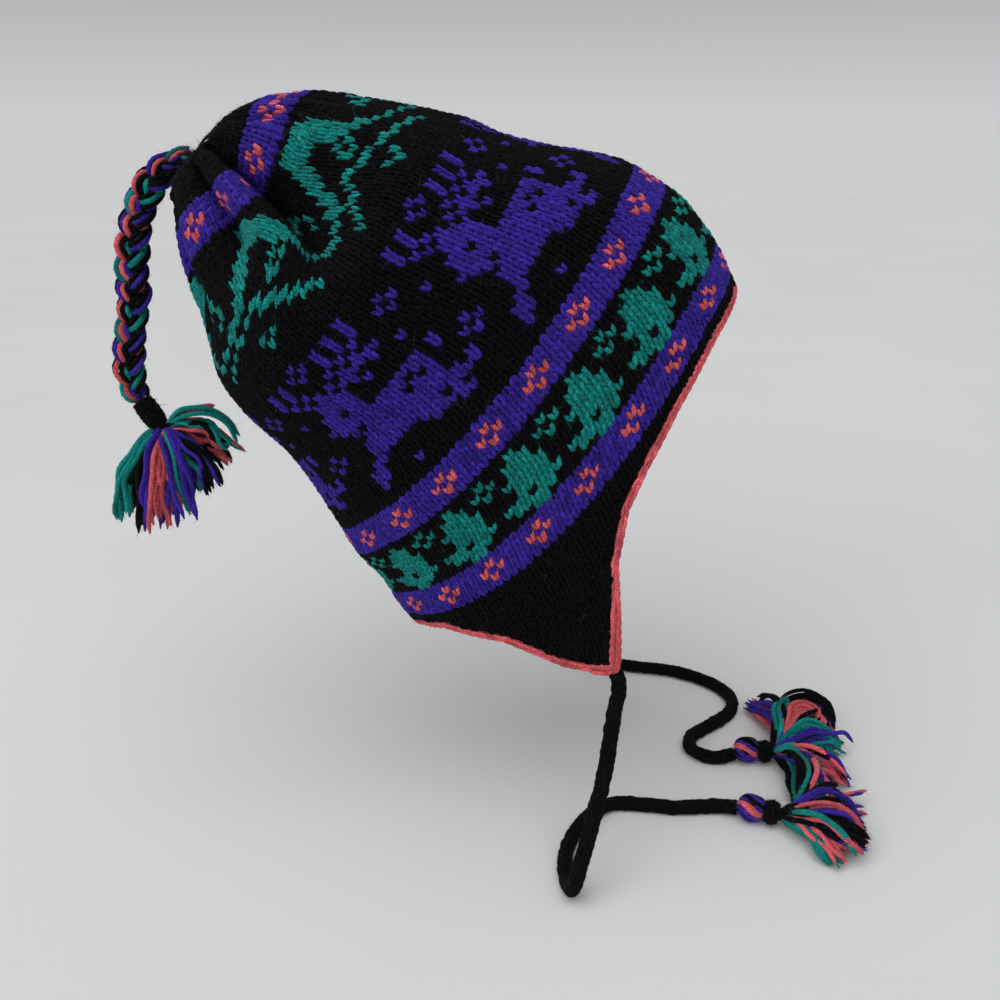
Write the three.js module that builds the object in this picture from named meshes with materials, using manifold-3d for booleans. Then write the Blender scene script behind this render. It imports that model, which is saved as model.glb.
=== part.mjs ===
// Chullo hat with ear flaps, a plaited top cord and two tie cords, held in its worn form.
// Millimetres. +X is the hat's front, +Y the wearer's left, +Z up.
// The origin is the middle of the head opening.
import * as THREE from "three";
import { mergeVertices } from "three/addons/utils/BufferGeometryUtils.js";
import Module from "manifold-3d";

const wasm = await Module();
wasm.setup();

// Driving sizes of the fabric
const CROWN_HEIGHT = 218.5;
const RIM_HALF_LENGTH = 113;
const RIM_HALF_WIDTH = 77;
const WEARING_TILT = THREE.MathUtils.degToRad(47.7);
const WALL = 3.2;
const CLEARANCE = 0.3;

// Knitting: courses run from the rim to the tip, wales run round the head
const WALES = 120;
const TIP_ROW = 84;
const BAND_ROW = 20.5;
const BAND_HEIGHT = 52;
const FLAP_ROW_PITCH = 2.95;

// How the ear side of the rim sags, and how far the flaps swing forward to hang down
const RIM_SAG = 13;
const FLAP_SWING = 35;
const SWING_START = 40;
const SWING_REACH = 103;
const EAR_ANGLE = 96;
const EAR_FRONT_SPAN = 62;
const EAR_BACK_SPAN = 58;

// Mesh steps: columns round the rim, courses up to the tip
const COLUMNS = 72;
const COURSES = 21;
const COURSE_SPREAD = 1.12;

// Edging, plait, cords and tassels
const EDGING_RADIUS = 1.6;
const EDGING_SIDES = 6;
const BRAID_WIDTH = 15;
const BRAID_THICKNESS = 12.5;
const BRAID_PLAIT_PITCH = 17;
const TIE_DIAMETER = 6.6;
const TIE_STEP = 9;
const CORD_DROP = 1.6;
const CORD_FOOTPRINT = 0.4;
const TOP_NECK_RADIUS = 4.6;
const TOP_WRAP_WALL = 1.9;
const TIE_NECK_RADIUS = 3.3;
const TIE_WRAP_WALL = 1.5;
const TIE_BALL_RADIUS = 7;
const LOCK_SIDES = 5;

// Sections of the crown across its axis: height above the rim as a share of the crown height,
// reach to brow and nape as shares of the rim's half length, reach to the ears as a share of
// the rim's half width
const SECTIONS = [
  { height: -0.320, front: 0.920, back: 0.938, side: 0.961 },
  { height: -0.137, front: 0.956, back: 0.982, side: 0.961 },
  { height: 0.000, front: 0.996, back: 1.000, side: 0.968 },
  { height: 0.055, front: 1.035, back: 0.982, side: 0.987 },
  { height: 0.128, front: 1.071, back: 0.934, side: 1.000 },
  { height: 0.211, front: 1.088, back: 0.916, side: 1.013 },
  { height: 0.284, front: 1.066, back: 0.863, side: 1.019 },
  { height: 0.352, front: 1.029, back: 0.819, side: 1.019 },
  { height: 0.407, front: 0.971, back: 0.783, side: 1.026 },
  { height: 0.462, front: 0.901, back: 0.757, side: 1.032 },
  { height: 0.513, front: 0.841, back: 0.748, side: 1.039 },
  { height: 0.568, front: 0.783, back: 0.743, side: 1.039 },
  { height: 0.632, front: 0.741, back: 0.721, side: 1.026 },
  { height: 0.686, front: 0.683, back: 0.679, side: 0.987 },
  { height: 0.737, front: 0.624, back: 0.615, side: 0.922 },
  { height: 0.787, front: 0.562, back: 0.553, side: 0.831 },
  { height: 0.842, front: 0.500, back: 0.500, side: 0.740 },
  { height: 0.890, front: 0.433, back: 0.434, side: 0.649 },
  { height: 0.934, front: 0.342, back: 0.358, side: 0.532 },
  { height: 0.966, front: 0.257, back: 0.288, side: 0.416 },
  { height: 0.989, front: 0.144, back: 0.254, side: 0.273 },
  { height: 1.000, front: 0.010, back: 0.149, side: 0.091 },
];

// Folds that gather the crown to its tip: angle round from the brow over the wearer's right,
// depth, half width in degrees, how far the floor tucks in under the next fabric in degrees, and
// the shares of the crown height where each starts and is whole
const FOLDS = [
  { angle: 82, depth: 42, width: 13, tuck: 26, start: 0.590, whole: 0.750 },
  { angle: 108, depth: 24, width: 8, tuck: 11, start: 0.730, whole: 0.840 },
  { angle: 150, depth: 19, width: 9, tuck: 0, start: 0.690, whole: 0.830 },
  { angle: 180, depth: 10, width: 8, tuck: 0, start: 0.740, whole: 0.860 },
  { angle: 214, depth: 20, width: 11, tuck: 0, start: 0.670, whole: 0.790 },
  { angle: 250, depth: 14, width: 9, tuck: 0, start: 0.714, whole: 0.833 },
  { angle: 282, depth: 28, width: 12, tuck: -12, start: 0.620, whole: 0.770 },
  { angle: 316, depth: 10, width: 8, tuck: 0, start: 0.760, whole: 0.860 },
  { angle: 344, depth: 9, width: 9, tuck: 0, start: 0.750, whole: 0.860 },
  { angle: 14, depth: 8, width: 8, tuck: 0, start: 0.780, whole: 0.870 },
  { angle: 40, depth: 12, width: 7, tuck: 0, start: 0.790, whole: 0.880 },
];
// Share of its tuck by which a fold's middle moves back, so its lip stays at its angle
const LIP_SHARE = 0.75;
const FOLD_FADE_RADIUS = 60;

// Lower edge of the fabric, from the brow (wale 0) to the nape (wale 60), the same on both sides:
// the ear flap's point is at the lowest row
const FABRIC_EDGE = [
  { wale: 0, row: 1.3 },
  { wale: 17, row: 1.3 },
  { wale: 22, row: 0.3 },
  { wale: 25.3, row: -1.2 },
  { wale: 28.3, row: -5.5 },
  { wale: 31.6667, row: -17.2 },
  { wale: 36.5, row: -12 },
  { wale: 42, row: -4.2 },
  { wale: 48.5, row: 1.0 },
  { wale: 52, row: 1.3 },
  { wale: 60, row: 1.3 },
];
const FLAP_POINT_WALE = 31.6667;

// Plait: points along its middle, from the gathered tip to the wrap, with its width there
const BRAID_ROUTE = [
  { x: -174.1, z: 137.8, width: 0.72 },
  { x: -178.2, z: 137.2, width: 0.92 },
  { x: -182.8, z: 134.0, width: 1.0 },
  { x: -188.2, z: 128.0, width: 1.0 },
  { x: -192.7, z: 120.4, width: 1.0 },
  { x: -196.5, z: 112.0, width: 1.0 },
  { x: -199.4, z: 102.0, width: 1.0 },
  { x: -201.2, z: 92.0, width: 1.0 },
  { x: -202.0, z: 82.0, width: 1.0 },
  { x: -203.6, z: 70.0, width: 1.02 },
  { x: -206.0, z: 58.0, width: 1.02 },
  { x: -207.6, z: 46.0, width: 1.0 },
  { x: -207.2, z: 36.0, width: 0.95 },
  { x: -204.6, z: 27.8, width: 0.74 },
];

// Tie cords: points along their middles after they leave the flap points
const RIGHT_CORD_ROUTE = [
  { x: 18.3, y: -84.5, z: -95 },
  { x: 14.6, y: -95.5, z: -112 },
  { x: 8.6, y: -108.5, z: -130 },
  { x: 3.4, y: -118.5, z: -143.5 },
  { x: 0.4, y: -123.8, z: -151 },
  { x: -1.2, y: -122.0, z: -157.6 },
  { x: -2.4, y: -115.0, z: -160.9 },
  { x: -3.0, y: -105.5, z: -160.9 },
  { x: -2.6, y: -96.0, z: -160.9 },
  { x: -0.2, y: -86.5, z: -160.9 },
  { x: 4.3, y: -76.5, z: -160.9 },
  { x: 10.6, y: -66.5, z: -160.9 },
  { x: 17.8, y: -59.3, z: -160.9 },
  { x: 26.0, y: -56.3, z: -160.9 },
  { x: 38.0, y: -57.6, z: -160.9 },
  { x: 50.0, y: -59.5, z: -160.9 },
  { x: 62.5, y: -59.4, z: -160.9 },
  { x: 73.5, y: -59.0, z: -160.7 },
  { x: 82.6, y: -62.0, z: -159.1 },
];
const LEFT_CORD_ROUTE = [
  { x: 21.0, y: 79.0, z: -100 },
  { x: 22.5, y: 80.0, z: -120 },
  { x: 24.6, y: 81.5, z: -140 },
  { x: 28.0, y: 83.0, z: -152 },
  { x: 34.0, y: 83.8, z: -159.4 },
  { x: 43.0, y: 83.2, z: -160.9 },
  { x: 55.0, y: 80.0, z: -160.9 },
  { x: 67.0, y: 77.4, z: -160.9 },
  { x: 79.0, y: 72.0, z: -160.9 },
  { x: 90.0, y: 63.6, z: -160.9 },
  { x: 97.8, y: 54.0, z: -160.9 },
  { x: 101.2, y: 42.0, z: -160.9 },
  { x: 97.6, y: 29.0, z: -160.9 },
  { x: 89.0, y: 19.2, z: -160.9 },
  { x: 79.4, y: 11.2, z: -160.9 },
  { x: 71.6, y: 3.4, z: -160.9 },
  { x: 69.0, y: -5.6, z: -160.9 },
  { x: 73.0, y: -13.8, z: -160.9 },
  { x: 81.6, y: -17.2, z: -160.6 },
  { x: 90.4, y: -16.2, z: -159.0 },
];

// Tassels: the ball or root, the neck's far end, and one row for each lock of yarn, with a point
// halfway, its end and its radius
const TOP_TASSEL = {
  neck: { x: -195.3, y: 0, z: 13.2 },
  locks: [
    { mx: -209, my: -6, mz: -8, x: -217, y: -6, z: -31, radius: 5.5 },
    { mx: -204, my: 7, mz: -8, x: -210, y: 9, z: -32, radius: 5.5 },
    { mx: -200, my: -10, mz: -8, x: -203, y: -14, z: -33, radius: 5.7 },
    { mx: -196, my: 0, mz: -10, x: -196, y: 1, z: -34, radius: 6.0 },
    { mx: -196, my: 12, mz: -8, x: -197, y: 17, z: -29, radius: 5.5 },
    { mx: -189, my: -10, mz: -6, x: -187, y: -12, z: -26, radius: 5.7 },
    { mx: -188, my: 9, mz: -6, x: -184, y: 12, z: -24, radius: 5.5 },
    { mx: -181, my: -5, mz: -1, x: -172, y: -6, z: -16, radius: 5.5 },
    { mx: -179, my: 6, mz: 3, x: -166, y: 8, z: -6, radius: 4.9 },
    { mx: -177, my: -1, mz: 16, x: -162, y: -1, z: 6, radius: 3.9 },
  ],
};
const RIGHT_TASSEL = {
  ball: { x: 89.2, y: -65.0, z: -157.2 },
  neck: { x: 103.5, y: -70.5, z: -157.6 },
  locks: [
    { mx: 112, my: -85, mz: -156, x: 123, y: -101, z: -160, radius: 4.1 },
    { mx: 116, my: -85, mz: -152, x: 132, y: -97, z: -158, radius: 4.9 },
    { mx: 118, my: -81, mz: -151, x: 136, y: -90, z: -157, radius: 5.1 },
    { mx: 120, my: -76, mz: -152, x: 137, y: -81, z: -158, radius: 4.9 },
    { mx: 120, my: -71, mz: -155, x: 138, y: -72, z: -159, radius: 4.1 },
    { mx: 121, my: -68, mz: -157, x: 147, y: -63, z: -160.4, radius: 3.4 },
    { mx: 114, my: -78, mz: -159.6, x: 128, y: -86, z: -160.6, radius: 4.4 },
  ],
};
const LEFT_TASSEL = {
  ball: { x: 97.4, y: -15.2, z: -157.2 },
  neck: { x: 112.0, y: -18.5, z: -156.8 },
  locks: [
    { mx: 120, my: 4, mz: -154, x: 110, y: 41, z: -160, radius: 5.2 },
    { mx: 124, my: 8, mz: -149, x: 138, y: 27, z: -152, radius: 5.2 },
    { mx: 133, my: 0, mz: -147, x: 148, y: 14, z: -153, radius: 5.5 },
    { mx: 134, my: -14, mz: -150, x: 154, y: -8, z: -157, radius: 5.2 },
    { mx: 122, my: -36, mz: -151, x: 124, y: -58, z: -158, radius: 5.5 },
    { mx: 117, my: -38, mz: -157, x: 112, y: -61, z: -160, radius: 4.5 },
    { mx: 128, my: -32, mz: -153, x: 144, y: -43, z: -159, radius: 4.5 },
    { mx: 126, my: -14, mz: -158, x: 140, y: -20, z: -160, radius: 4.8 },
  ],
};

const COLOURS = {
  black: new THREE.MeshStandardMaterial({ color: 0x1f1d20, roughness: 0.95, metalness: 0 }),
  coral: new THREE.MeshStandardMaterial({ color: 0xe4757a, roughness: 0.9, metalness: 0 }),
  purple: new THREE.MeshStandardMaterial({ color: 0x5a48a8, roughness: 0.9, metalness: 0 }),
  teal: new THREE.MeshStandardMaterial({ color: 0x33998e, roughness: 0.9, metalness: 0 }),
};

// The crown's own directions: up its axis, toward the brow, toward the wearer's left
const UP_AXIS = new THREE.Vector3(-Math.sin(WEARING_TILT), 0, Math.cos(WEARING_TILT));
const BROW_AXIS = new THREE.Vector3(Math.cos(WEARING_TILT), 0, Math.sin(WEARING_TILT));
const LEFT_AXIS = new THREE.Vector3(0, 1, 0);

function ease(low, high, value) {
  const share = THREE.MathUtils.clamp((value - low) / (high - low), 0, 1);
  return share * share * (3 - 2 * share);
}

// A named column of a table as a smooth curve through its rows
function columnCurve(rows, key, column) {
  const last = rows.length - 1;
  const slope = (i, j) => (rows[j][column] - rows[i][column]) / (rows[j][key] - rows[i][key]);
  return (value) => {
    const at = THREE.MathUtils.clamp(value, rows[0][key], rows[last][key]);
    let i = 0;
    while (i < last - 1 && at > rows[i + 1][key]) i += 1;
    const span = rows[i + 1][key] - rows[i][key];
    const here = slope(i, i + 1);
    const before = i > 0 ? (slope(i - 1, i) + here) / 2 : here;
    const after = i < last - 1 ? (slope(i + 1, i + 2) + here) / 2 : here;
    const s = (at - rows[i][key]) / span;
    const a = 2 * s ** 3 - 3 * s ** 2 + 1;
    const b = s ** 3 - 2 * s ** 2 + s;
    const c = 3 * s ** 2 - 2 * s ** 3;
    const d = s ** 3 - s ** 2;
    return a * rows[i][column] + b * span * before + c * rows[i + 1][column] + d * span * after;
  };
}

function columnLine(rows, key, column, value) {
  const last = rows.length - 1;
  let i = 0;
  while (i < last - 1 && value > rows[i + 1][key]) i += 1;
  const share = (value - rows[i][key]) / (rows[i + 1][key] - rows[i][key]);
  return THREE.MathUtils.lerp(rows[i][column], rows[i + 1][column], share);
}

const frontShare = columnCurve(SECTIONS, "height", "front");
const backShare = columnCurve(SECTIONS, "height", "back");
const sideShare = columnCurve(SECTIONS, "height", "side");

// How far the folds pull the fabric in, and turn it round, at an angle and height
function foldShift(height, degrees, halfLength) {
  let pull = 0;
  let turn = 0;
  for (const fold of FOLDS) {
    const grown = ease(fold.start * CROWN_HEIGHT, fold.whole * CROWN_HEIGHT, height);
    const middle = fold.angle - LIP_SHARE * fold.tuck * grown;
    const away = THREE.MathUtils.euclideanModulo(degrees - middle + 180, 360) - 180;
    const shape = grown * Math.exp(-(Math.abs(away / fold.width) ** 1.5));
    pull = Math.max(pull, fold.depth * shape);
    turn += fold.tuck * shape;
  }
  return {
    pull: pull * Math.min(halfLength / FOLD_FADE_RADIUS, 1),
    turn: THREE.MathUtils.degToRad(turn),
  };
}

// The crown's section at a height: distances toward the brow and toward the wearer's left
function sectionPoint(height, angle) {
  const share = height / CROWN_HEIGHT;
  const front = frontShare(share) * RIM_HALF_LENGTH;
  const back = backShare(share) * RIM_HALF_LENGTH;
  const side = sideShare(share) * RIM_HALF_WIDTH;
  const middle = (front - back) / 2;
  const halfLength = (front + back) / 2;
  const fold = foldShift(height, THREE.MathUtils.radToDeg(angle), halfLength);
  const kept = 1 - fold.pull / halfLength;
  return {
    brow: middle + halfLength * kept * Math.cos(angle + fold.turn),
    left: -side * kept * Math.sin(angle + fold.turn),
  };
}

// Fabric length from the upper band to each height, on the mean of the two main outlines
const CLIMB_STEPS = 200;
const climb = [{ height: BAND_HEIGHT, length: 0 }];
for (let i = 1; i <= CLIMB_STEPS; i += 1) {
  const mean = (height) => {
    const share = height / CROWN_HEIGHT;
    const along = (frontShare(share) + backShare(share)) / 2 * RIM_HALF_LENGTH;
    return (along + sideShare(share) * RIM_HALF_WIDTH) / 2;
  };
  const height = THREE.MathUtils.lerp(BAND_HEIGHT, CROWN_HEIGHT, i / CLIMB_STEPS);
  const before = climb[i - 1];
  const step = Math.hypot(height - before.height, mean(height) - mean(before.height));
  climb.push({ height, length: before.length + step });
}
const ROW_PITCH = climb[CLIMB_STEPS].length / (TIP_ROW - BAND_ROW);

// 1 over the ear, 0 at the brow and the nape
function earShare(angle) {
  const turn = THREE.MathUtils.euclideanModulo(THREE.MathUtils.radToDeg(angle), 360);
  const degrees = turn > 180 ? 360 - turn : turn;
  const span = degrees < EAR_ANGLE ? EAR_FRONT_SPAN : EAR_BACK_SPAN;
  return Math.max(1 - ((degrees - EAR_ANGLE) / span) ** 2, 0) ** 1.5;
}

function rowHeight(row, angle) {
  if (row >= BAND_ROW) {
    return columnLine(climb, "length", "height", (row - BAND_ROW) * ROW_PITCH);
  }
  const low = -RIM_SAG * earShare(angle);
  return row >= 0 ? low + (BAND_HEIGHT - low) * row / BAND_ROW : low + row * FLAP_ROW_PITCH;
}

// Angles that space the wales evenly by length on a section
const TURN_STEPS = 240;
const HEIGHT_STEPS = 64;
const LOWEST_HEIGHT = -70;
const angleTables = [];
for (let j = 0; j <= HEIGHT_STEPS; j += 1) {
  const height = THREE.MathUtils.lerp(LOWEST_HEIGHT, CROWN_HEIGHT, j / HEIGHT_STEPS);
  const lengths = [0];
  let before = sectionPoint(height, 0);
  for (let i = 1; i <= TURN_STEPS; i += 1) {
    const here = sectionPoint(height, i / TURN_STEPS * 2 * Math.PI);
    lengths.push(lengths[i - 1] + Math.hypot(here.brow - before.brow, here.left - before.left));
    before = here;
  }
  const table = [];
  let k = 0;
  for (let i = 0; i <= TURN_STEPS; i += 1) {
    const wanted = i / TURN_STEPS * lengths[TURN_STEPS];
    while (k < TURN_STEPS - 1 && lengths[k + 1] < wanted) k += 1;
    const share = (wanted - lengths[k]) / (lengths[k + 1] - lengths[k]);
    table.push((k + share) / TURN_STEPS * 2 * Math.PI);
  }
  angleTables.push(table);
}

function waleAngle(share, height) {
  const turn = THREE.MathUtils.euclideanModulo(share, 1) * TURN_STEPS;
  const up = (height - LOWEST_HEIGHT) / (CROWN_HEIGHT - LOWEST_HEIGHT) * HEIGHT_STEPS;
  const i = Math.min(Math.floor(turn), TURN_STEPS - 1);
  const j = THREE.MathUtils.clamp(Math.floor(up), 0, HEIGHT_STEPS - 1);
  const at = (table) => THREE.MathUtils.lerp(table[i], table[i + 1], turn - i);
  return THREE.MathUtils.lerp(at(angleTables[j]), at(angleTables[j + 1]), up - j);
}

// The fabric's outer face at a wale (a share of the way round) and a row
function fabricPoint(share, row) {
  let angle = waleAngle(share, SWING_START);
  let height = SWING_START;
  for (let i = 0; i < 3; i += 1) {
    height = rowHeight(row, angle);
    angle = waleAngle(share, height);
  }
  const section = sectionPoint(height, angle);
  const below = Math.max(SWING_START - height, 0) / SWING_REACH;
  const swing = FLAP_SWING * below ** 2 * Math.sqrt(earShare(angle));
  return new THREE.Vector3()
    .addScaledVector(UP_AXIS, height)
    .addScaledVector(BROW_AXIS, section.brow - swing)
    .addScaledVector(LEFT_AXIS, section.left);
}

function edgeRow(share) {
  const wale = THREE.MathUtils.euclideanModulo(share, 1) * WALES;
  return columnLine(FABRIC_EDGE, "wale", "row", wale > WALES / 2 ? WALES - wale : wale);
}

// A closed body from rings of points, capped by a fan at each end or closed on itself
function loft(rings, options = {}) {
  const sides = rings[0].length;
  const count = rings.length;
  const points = rings.flat();
  const faces = [];
  const spans = options.loop ? count : count - 1;
  for (let j = 0; j < spans; j += 1) {
    const next = (j + 1) % count;
    for (let i = 0; i < sides; i += 1) {
      const k = (i + 1) % sides;
      faces.push(j * sides + i, j * sides + k, next * sides + i);
      faces.push(j * sides + k, next * sides + k, next * sides + i);
    }
  }
  if (!options.loop) {
    const start = options.start ?? average(rings[0]);
    const end = options.end ?? average(rings[count - 1]);
    points.push(start, end);
    for (let i = 0; i < sides; i += 1) {
      const k = (i + 1) % sides;
      faces.push(points.length - 2, k, i);
      faces.push(points.length - 1, (count - 1) * sides + i, (count - 1) * sides + k);
    }
  }
  const geometry = new THREE.BufferGeometry().setFromPoints(points);
  geometry.setIndex(faces);
  return faceOutward(geometry);
}

function average(points) {
  const sum = new THREE.Vector3();
  for (const point of points) sum.add(point);
  return sum.divideScalar(points.length);
}

function faceOutward(geometry) {
  const position = geometry.getAttribute("position");
  const index = geometry.getIndex();
  const corner = (i) => new THREE.Vector3().fromBufferAttribute(position, index.getX(i));
  let volume = 0;
  for (let i = 0; i < index.count; i += 3) {
    volume += corner(i).dot(corner(i + 1).cross(corner(i + 2)));
  }
  if (volume < 0) {
    for (let i = 0; i < index.count; i += 3) {
      const first = index.getX(i);
      index.setX(i, index.getX(i + 1));
      index.setX(i + 1, first);
    }
  }
  geometry.computeVertexNormals();
  return geometry;
}

// Rings across a curve, each from a radius pair and a turn-free frame
function curveRings(curve, steps, sides, radiusAt) {
  const frames = curve.computeFrenetFrames(steps, false);
  const rings = [];
  for (let j = 0; j <= steps; j += 1) {
    const centre = curve.getPointAt(j / steps);
    const radius = radiusAt(j / steps);
    const ring = [];
    for (let i = 0; i < sides; i += 1) {
      const turn = i / sides * 2 * Math.PI;
      ring.push(centre.clone()
        .addScaledVector(frames.normals[j], Math.cos(turn) * radius.across)
        .addScaledVector(frames.binormals[j], Math.sin(turn) * radius.through));
    }
    rings.push(ring);
  }
  return rings;
}

function solidFrom(geometry) {
  const plain = geometry.clone();
  plain.deleteAttribute("normal");
  plain.deleteAttribute("uv");
  const merged = mergeVertices(plain, 1e-5);
  return new wasm.Manifold(new wasm.Mesh({
    numProp: 3,
    vertProperties: new Float32Array(merged.getAttribute("position").array),
    triVerts: new Uint32Array(merged.getIndex().array),
  }));
}

function geometryFrom(solid) {
  const mesh = solid.getMesh();
  const geometry = new THREE.BufferGeometry();
  const step = mesh.numProp;
  const positions = [];
  for (let i = 0; i < mesh.vertProperties.length; i += step) {
    positions.push(mesh.vertProperties[i], mesh.vertProperties[i + 1], mesh.vertProperties[i + 2]);
  }
  geometry.setAttribute("position", new THREE.Float32BufferAttribute(positions, 3));
  geometry.setIndex(Array.from(mesh.triVerts));
  geometry.computeVertexNormals();
  return geometry;
}

function fuse(geometries) {
  let whole = solidFrom(geometries[0]);
  for (const geometry of geometries.slice(1)) whole = whole.add(solidFrom(geometry));
  return geometryFrom(whole);
}

// Outer and inner faces of the fabric on a grid of columns and courses
function fabricGrid() {
  const outer = [];
  for (let j = 0; j <= COURSES; j += 1) {
    const up = 1 - (1 - j / (COURSES + 0.4)) ** COURSE_SPREAD;
    const ring = [];
    for (let i = 0; i < COLUMNS; i += 1) {
      const low = edgeRow(i / COLUMNS);
      ring.push(fabricPoint(i / COLUMNS, THREE.MathUtils.lerp(low, TIP_ROW, up)));
    }
    outer.push(ring);
  }
  const tip = average(outer[COURSES]).addScaledVector(UP_AXIS, 0.5);
  const inner = outer.map((ring, j) => ring.map((point, i) => {
    const round = ring[(i + 1) % COLUMNS].clone().sub(ring[(i + COLUMNS - 1) % COLUMNS]);
    const above = j < COURSES ? outer[j + 1][i] : tip;
    const below = j > 0 ? outer[j - 1][i] : point;
    const normal = round.cross(above.clone().sub(below)).normalize();
    return point.clone().addScaledVector(normal, WALL);
  }));
  return { outer, inner, tip };
}

function knitBody(grid) {
  const rings = [...grid.outer].reverse().concat(grid.inner);
  const innerTip = average(grid.inner[COURSES]).addScaledVector(UP_AXIS, -0.5);
  return loft(rings, { start: grid.tip, end: innerTip });
}

// The crocheted edging: a tube that follows the fabric's edge just beyond it
function edgeBinding(grid) {
  const edge = grid.outer[0].map((point, i) => point.clone().lerp(grid.inner[0][i], 0.5));
  const across = grid.outer[0].map((point, i) => point.clone().sub(grid.inner[0][i]).normalize());
  const rings = edge.map((point, i) => {
    const before = point.clone().sub(edge[(i + COLUMNS - 1) % COLUMNS]).normalize();
    const after = edge[(i + 1) % COLUMNS].clone().sub(point).normalize();
    const outBefore = across[i].clone().cross(before).normalize();
    const outAfter = across[i].clone().cross(after).normalize();
    const out = outBefore.clone().add(outAfter).normalize();
    const corner = Math.max(out.dot(outAfter), 0.5);
    const centre = point.clone().addScaledVector(out, (EDGING_RADIUS + CLEARANCE) / corner);
    const ring = [];
    for (let k = 0; k < EDGING_SIDES; k += 1) {
      const turn = (k + 0.5) / EDGING_SIDES * 2 * Math.PI;
      ring.push(centre.clone()
        .addScaledVector(out, Math.cos(turn) * EDGING_RADIUS)
        .addScaledVector(across[i], Math.sin(turn) * EDGING_RADIUS * 1.15));
    }
    return ring;
  });
  return { geometry: loft(rings, { loop: true }), rings };
}

// The plait as one bundle whose outline swells where its strands cross
function topBraid() {
  const route = new THREE.CatmullRomCurve3(BRAID_ROUTE.map((p) => new THREE.Vector3(p.x, 0, p.z)));
  const length = route.getLength();
  const widthAt = (share) => {
    const at = share * (BRAID_ROUTE.length - 1);
    const i = Math.min(Math.floor(at), BRAID_ROUTE.length - 2);
    return THREE.MathUtils.lerp(BRAID_ROUTE[i].width, BRAID_ROUTE[i + 1].width, at - i);
  };
  const rings = curveRings(route, 40, 8, (share) => {
    const swell = 0.05 * Math.cos(share * length / BRAID_PLAIT_PITCH * 4 * Math.PI);
    const size = widthAt(share) * (0.95 + swell) / 2;
    return { across: size * BRAID_WIDTH, through: size * BRAID_THICKNESS };
  });
  return loft(rings);
}

function tieCord(start, outward, route) {
  const points = [start, start.clone().addScaledVector(outward, TIE_DIAMETER)];
  for (const row of route) points.push(new THREE.Vector3(row.x, row.y, row.z));
  const curve = new THREE.CatmullRomCurve3(points, false, "centripetal");
  curve.arcLengthDivisions = 1000;
  const section = new THREE.Shape();
  section.absarc(0, 0, TIE_DIAMETER / 2, 0, 2 * Math.PI, false);
  const steps = Math.round(curve.getLength() / TIE_STEP);
  const tube = new THREE.ExtrudeGeometry(section, {
    steps,
    curveSegments: 4,
    extrudePath: curve,
  });
  return { geometry: geometryFrom(solidFrom(tube)), curve };
}

// One lock of yarn: thin where it leaves the neck, full in the middle, rounded at its end
function lockOfYarn(neck, row) {
  const curve = new THREE.QuadraticBezierCurve3(
    neck,
    new THREE.Vector3(
      2 * row.mx - (neck.x + row.x) / 2,
      2 * row.my - (neck.y + row.y) / 2,
      2 * row.mz - (neck.z + row.z) / 2,
    ),
    new THREE.Vector3(row.x, row.y, row.z),
  );
  const fullness = [0.75, 0.95, 1.0, 0.92, 0.55];
  return loft(curveRings(curve, 4, LOCK_SIDES, (share) => {
    const radius = row.radius * fullness[Math.round(share * 4)];
    return { across: radius, through: radius };
  }));
}

function neckRod(from, to, radius) {
  const length = from.distanceTo(to);
  const rod = new THREE.CylinderGeometry(radius, radius, length, 10);
  const turn = new THREE.Quaternion().setFromUnitVectors(
    new THREE.Vector3(0, 1, 0), to.clone().sub(from).normalize());
  rod.applyQuaternion(turn);
  const middle = from.clone().add(to).multiplyScalar(0.5);
  rod.translate(middle.x, middle.y, middle.z);
  return rod;
}

function vector(row) {
  return new THREE.Vector3(row.x, row.y, row.z);
}

// Ball, neck and locks fused to one body
function tieTassel(tassel) {
  const ball = new THREE.SphereGeometry(TIE_BALL_RADIUS, 12, 8);
  ball.translate(tassel.ball.x, tassel.ball.y, tassel.ball.z);
  const neck = vector(tassel.neck);
  const rod = neckRod(vector(tassel.ball), neck, TIE_NECK_RADIUS);
  return fuse([ball, rod, ...tassel.locks.map((row) => lockOfYarn(neck, row))]);
}

function topTassel(root) {
  const neck = vector(TOP_TASSEL.neck);
  const rod = neckRod(root, neck, TOP_NECK_RADIUS);
  return fuse([rod, ...TOP_TASSEL.locks.map((row) => lockOfYarn(neck, row))]);
}

// A few turns of binding yarn round a neck, as one short sleeve
function yarnWrap(from, to, inner, wall) {
  const length = from.distanceTo(to);
  const outer = inner + wall;
  const profile = [
    new THREE.Vector2(inner, 0),
    new THREE.Vector2(outer - 0.5, 0),
    new THREE.Vector2(outer, length * 0.3),
    new THREE.Vector2(outer, length * 0.7),
    new THREE.Vector2(outer - 0.5, length),
    new THREE.Vector2(inner, length),
    new THREE.Vector2(inner, 0),
  ];
  const sleeve = new THREE.LatheGeometry(profile, 12);
  const turn = new THREE.Quaternion().setFromUnitVectors(
    new THREE.Vector3(0, 1, 0), to.clone().sub(from).normalize());
  sleeve.applyQuaternion(turn);
  sleeve.translate(from.x, from.y, from.z);
  return geometryFrom(solidFrom(sleeve));
}

function addPiece(parent, name, geometry, material) {
  const piece = new THREE.Mesh(geometry, material);
  piece.name = name;
  parent.add(piece);
  return piece;
}

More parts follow.
